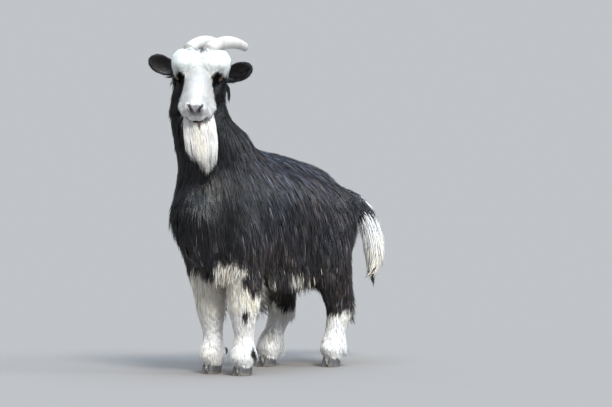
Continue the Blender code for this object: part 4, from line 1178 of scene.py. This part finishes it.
dice = np.random.default_rng(43)
count = 70
root = HEAD @ Vector((0.068, 0.03, -0.052))
spot = np.array(root) + dice.normal(0, 0.0035, (count, 3))
reach_down = dice.uniform(0.045, 0.068, count)
path = np.stack([spot + np.array((0.15, 0.16, -1.0)) * (reach_down * t)[:, None]
                 + (np.array(root) - spot) * 0.7 * t + np.array((0.006, 0.006, 0)) * math.sin(math.pi * t)
                 for t in np.linspace(0, 1, 4)], axis=1)
outward = np.tile(np.array((0.6, -0.8, 0.0)), (count, 4, 1))
tones = hair_tones(spot, np.zeros(count), dice, np.zeros(count))
weave("coat_ear_lock", path, outward, dice.uniform(0.0012, 0.002, count), tones, tones, dice, "head")

# ---- Beard ---------------------------------------------------------------------------------------------------------
# The long straight hair of the chin and jaw, which hangs free in front of the throat in pointed locks. It is cream at
# the middle and whiter at its sides, and it is rooted in the skin from the lip back to the throat.

BEARD_STEPS = 3
count = 4300
dice = np.random.default_rng(40)
across = np.array((math.cos(math.radians(HEAD_TURN)), math.sin(math.radians(HEAD_TURN)), 0.0))
ahead = np.array((across[1], -across[0], 0.0))
top = np.array(HEAD @ Vector((0, -0.062, -0.03)))
drop = np.array((0.05, 0.06, -1.0))
u = dice.uniform(-1, 1, count)
u = np.where(dice.random(count) < 0.25, u * 0.4, u)
v = (1 - 2 * dice.random(count) ** 1.4) * np.sqrt(1 - 0.75 * u**2)
on_chin = dice.random(count) < 0.14
u, v = np.where(on_chin, u * 0.3 + 0.04, u), np.where(on_chin, 0.95, v)
rooted = out_of_head(np.stack([u * 0.034, -0.066 - 0.04 * v - 0.012 * on_chin,
                               -0.066 - 0.01 * v + 0.016 * u**2 - 0.006 * on_chin], axis=1))
on, ways, _ = nearest_on_hide(rooted)
rooted = on - ways * 0.001
bottom = 0.2 - 0.034 * np.abs(u - 0.3) ** 1.2 - 0.018 * v
first = (top - rooted)[:, 2]
length = bottom * (1 - 0.52 * dice.random(count) ** 1.8)
path = np.empty((count, BEARD_STEPS + 1, 3))
downs, wides, thicks = zip((0.0, 0.036, 0.03), (0.045, 0.048, 0.034), (0.095, 0.049, 0.031), (0.145, 0.05, 0.025),
                           (0.19, 0.045, 0.018), (0.222, 0.034, 0.01))
for k in range(BEARD_STEPS + 1):
    t = k / BEARD_STEPS
    fall = np.maximum(first, 0) * (1 - t) + (0.022 + length) * t
    hung = (top + drop * fall[:, None] + across * (u * np.interp(fall, downs, wides) * 0.96)[:, None]
            + ahead * (v * np.interp(fall, downs, thicks) * 0.92)[:, None])
    free = ramp(t, 0.0, 0.5)
    straight = rooted + np.array((0, 0, -1.0)) * (fall - first)[:, None]
    path[:, k] = straight * (1 - free) + hung * free
path, _ = clumped(path, 0.011, 0.008, 0.36, dice)
path = strayed(path, 0.0013, dice)
warm = np.clip(0.75 - np.abs(u + 0.05) * 0.7 + dice.normal(0, 0.2, count), 0, 1)
tones = hair_tones(rooted, np.ones(count), dice, warm)
outward = np.tile(ahead[None, None], (count, BEARD_STEPS + 1, 1))
weave("coat_beard", path, outward, dice.uniform(0.0015, 0.0028, count), tones, tones * 1.05, dice, "head", ("beard",))

# ---- Tail brush ----------------------------------------------------------------------------------------------------
# Long hair along the tail's dock, which hangs past its tip in a loose pointed brush. It is black on top at the root,
# then white, and cream lower down and inside.

BRUSH_STEPS = 4
# The brush's outline along the dock: place, half width and half depth
DOCK = np.array([(0.0004, 0.3, 0.552, 0.024, 0.026), (0.0124, 0.353, 0.552, 0.024, 0.028),
                 (0.0344, 0.41, 0.53, 0.026, 0.031), (0.0564, 0.446, 0.47, 0.034, 0.038),
                 (0.0704, 0.458, 0.4, 0.039, 0.041), (0.0764, 0.458, 0.335, 0.036, 0.038),
                 (0.0764, 0.452, 0.268, 0.028, 0.03)])
dice = np.random.default_rng(42)
count = 2000
walk = np.concatenate([[0], np.cumsum(np.linalg.norm(np.diff(DOCK[:, :3], axis=0), axis=1))])
begin = dice.uniform(0.04, 0.2, count)
finish_at = np.minimum(begin + dice.uniform(0.1, 0.17, count), walk[-1] - 0.02 * dice.random(count) ** 2)
turn = dice.uniform(0, 2 * math.pi, count)
far = np.sqrt(dice.uniform(0.08, 1.0, count))
path = np.empty((count, BRUSH_STEPS + 1, 3))
outward = np.empty_like(path)
for k in range(BRUSH_STEPS + 1):
    t = k / BRUSH_STEPS
    at = begin + (finish_at - begin) * t
    row, later, sooner = (np.stack([np.interp(spot, walk, column) for column in DOCK.T], axis=1)
                          for spot in (at, at + 0.004, at - 0.004))
    along = unit((later - sooner)[:, :3])
    sideways = unit(np.cross(along, np.array((0.0, 1.0, 0.3))))
    upward = np.cross(sideways, along)
    open_out = 0.3 + (far - 0.3) * min(t * 1.5, 1) ** 0.8
    offset = sideways * (np.cos(turn) * row[:, 3])[:, None] + upward * (np.sin(turn) * row[:, 4])[:, None]
    path[:, k] = row[:, :3] + offset * open_out[:, None]
    outward[:, k] = unit(offset)
path, _ = clumped(path, 0.03, 0.016, 0.55, dice)
path = strayed(path, 0.0018, dice)
black_top = (begin < 0.085 + 0.02 * dice.random(count)) & (np.sin(turn) < 0.5)
white = np.where((begin < 0.062) | black_top & (begin < 0.1), 0.0, 1.0)
warm = np.clip((0.5 - path[:, 2, 2]) / 0.12 + 0.5 * np.sin(turn), 0, 1.3)
tones = hair_tones(path[:, 0], white, dice, warm)
weave("coat_tail_brush", path, outward, dice.uniform(0.0024, 0.0042, count), tones, tones * 1.05, dice, "ring_z")

# ---- Stand and studio ----------------------------------------------------------------------------------------------
# A plain pale floor without an edge, a broad cool light from above, a clear one from the front and a weak one from
# the goat's left, and a camera that looks level at the goat from before its left shoulder.


def sun(name, stands, power, spread, tint):
    light = bpy.data.lights.new(name, "SUN")
    light.energy, light.angle, light.color = power, math.radians(spread), tint
    linked(name, light).rotation_euler = (-Vector(stands)).to_track_quat("-Z", "Y").to_euler()


FLOOR_REACH = 400
floor = new_object("floor", [(a * FLOOR_REACH, b * FLOOR_REACH, 0) for a, b in ((-1, -1), (1, -1), (1, 1), (-1, 1))],
                   [(0, 1, 2, 3)])
floor_finish, shader = new_material("studio_floor", 0.9, 0.0)
shader.inputs["Base Color"].default_value = (0.271, 0.256, 0.245, 1)
floor.data.materials.append(floor_finish)
sun("sky", (0.15, -0.1, 1.0), 3.0, 50, (0.62, 0.8, 1.0))
sun("key", (0.66, -0.42, 0.85), 3.0, 16, (1.0, 0.98, 0.94))
sun("side", (0.9, 0.35, 0.5), 1.2, 20, (0.86, 0.93, 1.0))
world = bpy.data.worlds.new("studio")
world.use_nodes = True
background = world.node_tree.nodes["Background"].inputs
background["Color"].default_value, background["Strength"].default_value = (0.86, 0.89, 0.93, 1), 0.62
bpy.context.scene.world = world
bpy.context.scene.view_settings.view_transform = "Standard"

VIEW_TURN, VIEW_AWAY, VIEW_HIGH, VIEW_ASIDE = math.radians(37.0), 6.0, 0.52, 0.143
VIEW_MIDDLE, SENSOR, FOCAL_SHARE = (0.0005, -0.0538), 36.0, 1929 / 612  # the focal length as a share of the sensor
right = Vector((math.cos(VIEW_TURN), math.sin(VIEW_TURN), 0))
onward = Vector((-math.sin(VIEW_TURN), math.cos(VIEW_TURN), 0))
lens = bpy.data.cameras.new("camera")
lens.sensor_width, lens.lens = SENSOR, FOCAL_SHARE * SENSOR
camera = linked("camera", lens)
camera.location = right * VIEW_ASIDE - onward * VIEW_AWAY + Vector((*VIEW_MIDDLE, VIEW_HIGH))
camera.rotation_euler = onward.to_track_quat("-Z", "Y").to_euler()
bpy.context.scene.camera = camera
